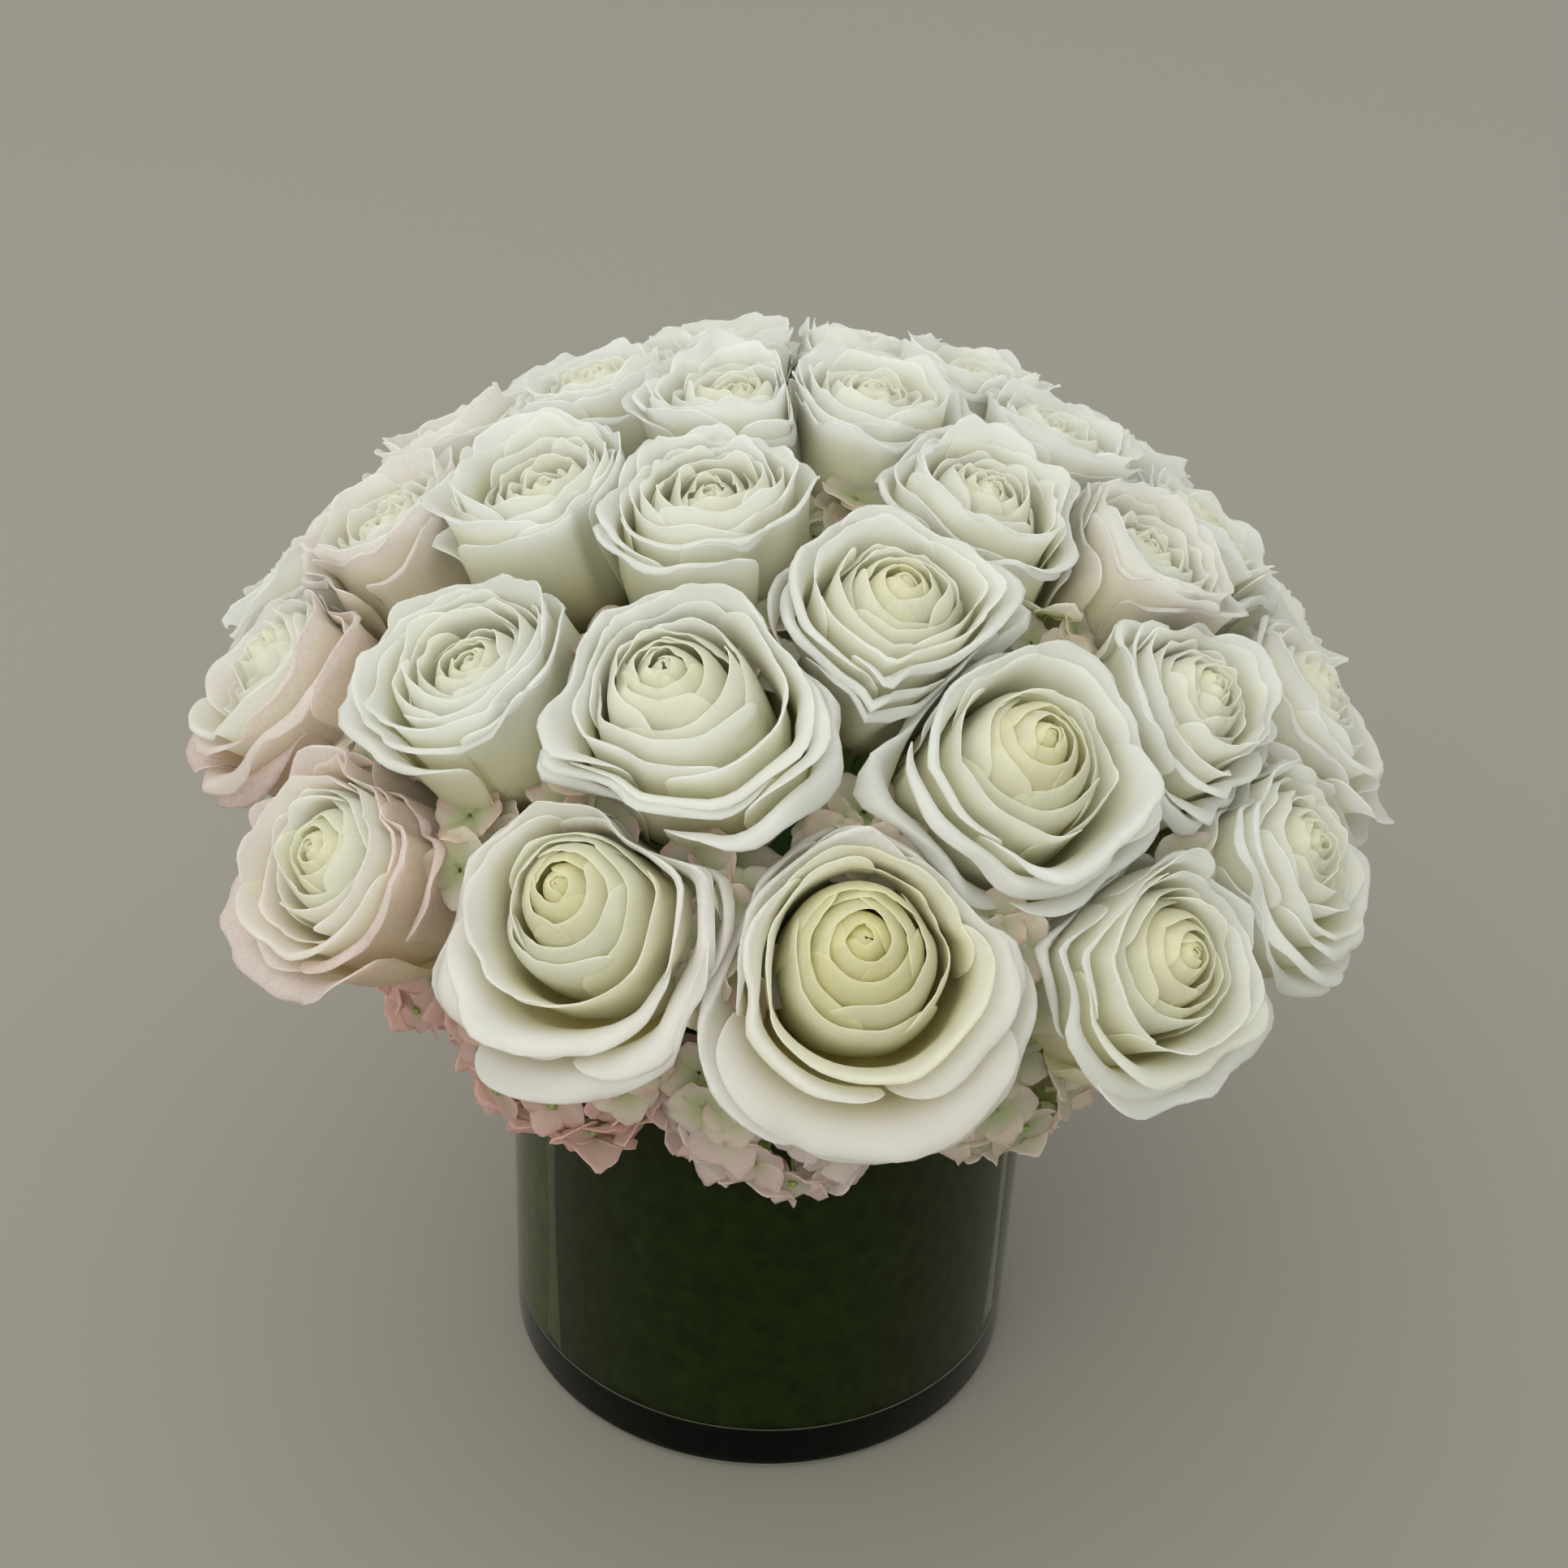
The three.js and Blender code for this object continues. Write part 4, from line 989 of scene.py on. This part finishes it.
# %% [markdown]
# A petal is a living skin, dull and finely grained, that lets about half of the light through, and inside a
# crowded rose that light goes on from petal to petal. That is why the depths of a rose glow cream and don't
# turn grey. So the surface is mixed with a translucent one, which has the larger share to stand for it all.
# Its colour comes from where a point lies: greenish cream at the root, white at the rim, creamier towards the
# heart, and pink in clouds where the table says so. A rose's petal is some 55 mm wide with a vein every 2 mm,
# and a hydrangea's sepal 11.5 mm wide with one every 0.8 mm. One flat colour would look like plaster.

# %% Petal material
ROSE_VEINS = round(55 / 2.1)
HYDRANGEA_VEINS = round(11.5 / 0.8)
VEIN_STRETCH = 1.6
BLUSH_CLOUD, PETAL_GRAIN = 14.286, 1.111  # about 14 mm, and the fine grain about 1.1 mm
SHADE_AS_AGE = 0.3  # how much a petal's own shade makes it look younger or older
BY_AGE = [(0.1, "#000000"), (0.88, "#ffffff")]
BY_ROOT = [(0.05, "#ffffff"), (0.7, "#000000")]
BY_VEIN = [(0.35, "#000000"), (0.75, "#2b2b2b")]
BY_CLOUD = [(0.3, "#3a3a3a"), (0.7, "#ffffff")]
GRAIN_BUMP = {"Strength": 0.25, "Distance": 0.2 * MM}
VEIN_BUMP = {"Strength": 0.4, "Distance": 0.6 * MM}
LIGHT_THROUGH = 0.76
PETAL_SKIN = {"Roughness": 0.55, "IOR": 1.4, "Specular IOR Level": 0.35}
PETAL_SKIN |= {"Sheen Weight": 0.12, "Sheen Roughness": 0.5}  # the fine bumps of a petal's skin


def petal_material(name, root, heart, rim, blush, vein_count):
    material = start_material(name)
    names = ("along", "across", "layer", "blush", "shade", "warmth")
    read = {key: add(material, "Attribute", {"attribute_name": key}, output="Fac") for key in names}
    shade = add(material, "Math", TIMES, {0: read["shade"], 1: SHADE_AS_AGE})
    age = add(material, "Math", PLUS, {0: read["layer"], 1: shade})
    lines = veins(material, read, vein_count, VEIN_STRETCH, 2.0)
    cloud = add(material, "TexNoise", inputs={"Scale": per_metre(BLUSH_CLOUD), "Detail": 3.0})
    sources = ((age, BY_AGE), (read["along"], BY_ROOT), (lines, BY_VEIN), (cloud, BY_CLOUD))
    aged, rooted, veined, cloudy = (
        add(material, "ValToRGB", inputs={"Fac": source}, stops=stops) for source, stops in sources
    )
    pink = add(material, "Math", TIMES, {0: read["blush"], 1: cloudy})
    colour = screen(rim)
    # Each step lays a colour over what the steps before it gave.
    for share, over in ((read["warmth"], heart), (aged, rim), (rooted, root), (veined, root), (pink, blush)):
        colour = add(material, "Mix", COLOURS, {0: share, UNDER: colour, OVER: screen(over)}, output=MIXED)
    grain = add(material, "TexNoise", inputs={"Scale": per_metre(PETAL_GRAIN), "Detail": 2.0})
    fine = add(material, "Bump", inputs={**GRAIN_BUMP, "Height": grain})
    normal = add(material, "Bump", inputs={**VEIN_BUMP, "Height": lines, "Normal": fine})
    skin = add(material, "BsdfPrincipled", inputs={**PETAL_SKIN, "Base Color": colour, "Normal": normal})
    glow = add(material, "BsdfTranslucent", inputs={"Color": colour, "Normal": normal})
    petal = add(material, "MixShader", inputs={0: LIGHT_THROUGH, 1: skin, 2: glow})
    add(material, "OutputMaterial", inputs={"Surface": petal})
    return material


PINK = "#f3ccc2"
rose_petal = petal_material("rose_petal", "#f4f0c5", "#f9f6d6", "#fcfcfa", "#f7dad2", ROSE_VEINS)
hydrangea_sepals = {
    colour: petal_material("hydrangea_sepal_" + colour, *codes, PINK, HYDRANGEA_VEINS)
    for colour, codes in {
        "pink": ("#f1e4d4", "#f9e5dd", "#fbe9e3"),
        "white": ("#f0eed8", "#faf3eb", "#fbf5f2"),
        "green": ("#dfe4bc", "#f2f5de", "#f8f5ea"),
    }.items()
}
print("petal materials:", [rose_petal.name, *(material.name for material in hydrangea_sepals.values())])

# %% [markdown]
# Leaf, stem and foam. A lining leaf grew waxy and is now wet and pressed on glass, so it is nearly
# black-green and has hardly a gloss of its own. It is 168 mm wide with a vein every 2.5 mm. A rose's stem and
# hip are a paler, duller green, mottled every 6 mm. Foam is blown resin, a dull mat of open cells 0.7 mm
# across, and would show only in the deepest gaps.

# %% Leaf, stem and foam materials
LEAF_VEINS = round(168 / 2.5)
LEAF_VEIN_STRETCH = 0.6
LEAF_VEIN = "#35420f"
WET_LEAF = {"Roughness": 0.45, "IOR": 1.4, "Specular IOR Level": 0.02}
STEM_SKIN = {"Roughness": 0.5, "IOR": 1.45}
OPEN_FOAM = {"Roughness": 0.95, "IOR": 1.4}
LEAF_BUMP = {"Strength": 0.15, "Distance": 0.3 * MM}
STEM_BUMP = {"Strength": 0.3, "Distance": 0.3 * MM}
FOAM_BUMP = {"Strength": 0.8, "Distance": 0.5 * MM}
LEAF_CLOUD, STEM_MOTTLE, FOAM_CLOUD, FOAM_CELL = 45.455, 6.25, 16.667, 0.71429
DARK_LEAF = [(0.3, "#1b2507"), (0.75, "#2a370e")]
PALE_LEAF = [(0.3, "#4c4f18"), (0.75, "#656825")]
LEAF_VEIN_DEPTH = [(0.5, "#000000"), (0.8, "#303030")]
STEM_GREENS = [(0.25, "#5f7a35"), (0.7, "#8da457")]
FOAM_GREENS = [(0.3, "#4a7a42"), (0.75, "#6a9a58")]


def solid_material(material, colour, height, bump, finish):
    """The end of each solid material: a bump, and one surface with its own finish."""
    normal = add(material, "Bump", inputs={**bump, "Height": height})
    surface = add(material, "BsdfPrincipled", inputs={**finish, "Base Color": colour, "Normal": normal})
    add(material, "OutputMaterial", inputs={"Surface": surface})
    return material


def leaf_material():
    material = start_material("wet_dark_leaf")
    names = ("along", "across", "layer")
    read = {key: add(material, "Attribute", {"attribute_name": key}, output="Fac") for key in names}
    cloud = add(material, "TexNoise", inputs={"Scale": per_metre(LEAF_CLOUD), "Detail": 4.0})
    lines = veins(material, read, LEAF_VEINS, LEAF_VEIN_STRETCH, 0.0)
    sources = ((cloud, DARK_LEAF), (cloud, PALE_LEAF), (lines, LEAF_VEIN_DEPTH))
    dark, pale, vein = (
        add(material, "ValToRGB", inputs={"Fac": source}, stops=stops) for source, stops in sources
    )
    body = add(material, "Mix", COLOURS, {0: read["layer"], UNDER: dark, OVER: pale}, output=MIXED)
    lined = add(material, "Mix", COLOURS, {0: vein, UNDER: body, OVER: screen(LEAF_VEIN)}, output=MIXED)
    return solid_material(material, lined, lines, LEAF_BUMP, WET_LEAF)


def stem_material():
    material = start_material("green_stem")
    mottle = add(material, "TexNoise", inputs={"Scale": per_metre(STEM_MOTTLE), "Detail": 4.0})
    body = add(material, "ValToRGB", inputs={"Fac": mottle}, stops=STEM_GREENS)
    return solid_material(material, body, mottle, STEM_BUMP, STEM_SKIN)


def foam_material():
    material = start_material("floral_foam")
    cells = add(material, "TexVoronoi", inputs={"Scale": per_metre(FOAM_CELL)})
    cloud = add(material, "TexNoise", inputs={"Scale": per_metre(FOAM_CLOUD), "Detail": 4.0})
    body = add(material, "ValToRGB", inputs={"Fac": cloud}, stops=FOAM_GREENS)
    return solid_material(material, body, cells, FOAM_BUMP, OPEN_FOAM)


wet_dark_leaf, green_stem, floral_foam = leaf_material(), stem_material(), foam_material()
print("green materials:", [material.name for material in (wet_dark_leaf, green_stem, floral_foam)])

# %% [markdown]
# Clear soda-lime glass, blown and fire-polished, so it is smooth apart from faint smears some 30 mm across.
# The faint green of its body is iron. Where a wet leaf lies on glass, the inner face reflects almost nothing,
# and a dark specular tint does the same here. Without it the room lays a grey veil over the leaves.

# %% Glass material
SMEAR = 28.571
SMEARED = {"From Min": 0.55, "From Max": 0.8, "To Min": 0.0, "To Max": 0.04}
GLASS = {"Base Color": screen("#c4dcb6"), "Specular Tint": screen("#565656")}
GLASS |= {"IOR": 1.52, "Transmission Weight": 1.0}


def glass_material():
    material = start_material("clear_glass")
    smear = add(material, "TexNoise", inputs={"Scale": per_metre(SMEAR), "Detail": 3.0})
    rough = add(material, "MapRange", inputs={**SMEARED, "Value": smear})
    surface = add(material, "BsdfPrincipled", inputs={**GLASS, "Roughness": rough})
    add(material, "OutputMaterial", inputs={"Surface": surface})
    return material


clear_glass = glass_material()
print("glass material:", clear_glass.name)

# %% [markdown]
# Now every piece is made. A rose's petals stand for its imported node, and so do a head's florets, a lining
# leaf's sheet and the glass. Stems and stalks are made with them, as pieces of their own. The foam keeps its
# own shape, and gets a finish.

# %% Set the pieces in place
BLUSH_ROSES = (1, 2, 6)
for rose in ROSES:
    slot = "blush_rose" if rose["number"] in BLUSH_ROSES else "white_rose"
    make_piece(rose["name"] + "_petals", [rose_petals(rose)], rose_petal, rose["name"])
    make_piece(rose["name"] + "_stem", rose_green(rose), green_stem)
print("roses made")

HEAD_COLOURS = ["white", "green", "green", "white", "white", "green", "white", "white", "pink", "pink"]
for index, colour in enumerate(HEAD_COLOURS):
    florets, stalks = hydrangea_head(index)
    node, slot = f"hydrangea_{index + 1:02d}", colour + "_hydrangea"
    make_piece(node + "_florets", [florets], hydrangea_sepals[colour], node)
    make_piece(node + "_stalks", stalks, green_stem)
for group in range(TUFT_GROUPS):
    florets, stalks = hydrangea_tufts(corners[group::TUFT_GROUPS], TUFT_SEED + group)
    name, slot = f"hydrangea_tuft_florets_{group + 1}", "green_hydrangea"
    make_piece(name, [florets], hydrangea_sepals["green"])
    make_piece(f"hydrangea_tuft_stalks_{group + 1}", stalks, green_stem)
print("hydrangea made")

glass = spin(vase_outline(), VASE_SIDES, {"along": 0.5})
make_piece("glass_vase", [glass], clear_glass, "vase")
for index in range(len(LEAF_TINTS)):
    number = f"{index + 1:02d}"
    sheet = [lining_leaf(index)]
    make_piece("lining_leaf_sheet_" + number, sheet, wet_dark_leaf, "lining_leaf_" + number)
foam_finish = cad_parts["foam"].data.materials
foam_finish.clear()
foam_finish.append(floral_foam)

# %% [markdown]
# A plain pale floor and soft light from above and the left, as by a large window, with a broad low light
# from the front for the rest of the room. Wide lamps give soft shadows, as an overcast day does. The view
# transform is the plain one, so that a colour read off the photograph comes out as it was.

# %% Floor and light
FLOOR_SIZE = 8.0
DOME_MIDDLE = (0.0, 0.0, 0.2)
WINDOW = {"size": 2.4, "energy": 14.0}
ROOM = {"angle": math.radians(70), "energy": 1.2}
ROOM_COLOUR, ROOM_STRENGTH = "#eef1ef", 0.9
FLOOR_FINISH = {"Base Color": screen("#908a80"), "Roughness": 0.8}


def make_floor():
    mesh = bpy.data.meshes.new("floor")
    corners = [(x * FLOOR_SIZE / 2, y * FLOOR_SIZE / 2, 0) for x, y in ((-1, -1), (1, -1), (1, 1), (-1, 1))]
    mesh.from_pydata(corners, [], [(0, 1, 2, 3)])
    material = start_material("pale_floor")
    surface = add(material, "BsdfPrincipled", inputs=FLOOR_FINISH)
    add(material, "OutputMaterial", inputs={"Surface": surface})
    mesh.materials.append(material)
    floor = bpy.data.objects.new("floor", mesh)
    bpy.context.scene.collection.objects.link(floor)


def add_lamp(name, kind, place, code, settings):
    data = bpy.data.lights.new(name, kind)
    data.color = screen(code)[:3]
    for key, value in settings.items():
        setattr(data, key, value)
    lamp = bpy.data.objects.new(name, data)
    lamp.location = place
    lamp.rotation_euler = (Vector(DOME_MIDDLE) - Vector(place)).to_track_quat("-Z", "Y").to_euler()
    bpy.context.scene.collection.objects.link(lamp)


make_floor()
add_lamp("window", "AREA", (-0.6, -0.5, 1.8), "#fefff8", WINDOW)
add_lamp("room", "SUN", (-0.35, -1.4, 0.9), "#fdfffc", ROOM)
world = bpy.data.worlds.new("room")
world.use_nodes = True
background = world.node_tree.nodes["Background"].inputs
background["Color"].default_value = screen(ROOM_COLOUR)
background["Strength"].default_value = ROOM_STRENGTH
bpy.context.scene.world = world
bpy.context.scene.view_settings.view_transform = "Standard"
print("lights:", len(bpy.data.lights))

# %% [markdown]
# Last, the view layer is brought up to date.

# %% Update the scene
bpy.context.view_layer.update()
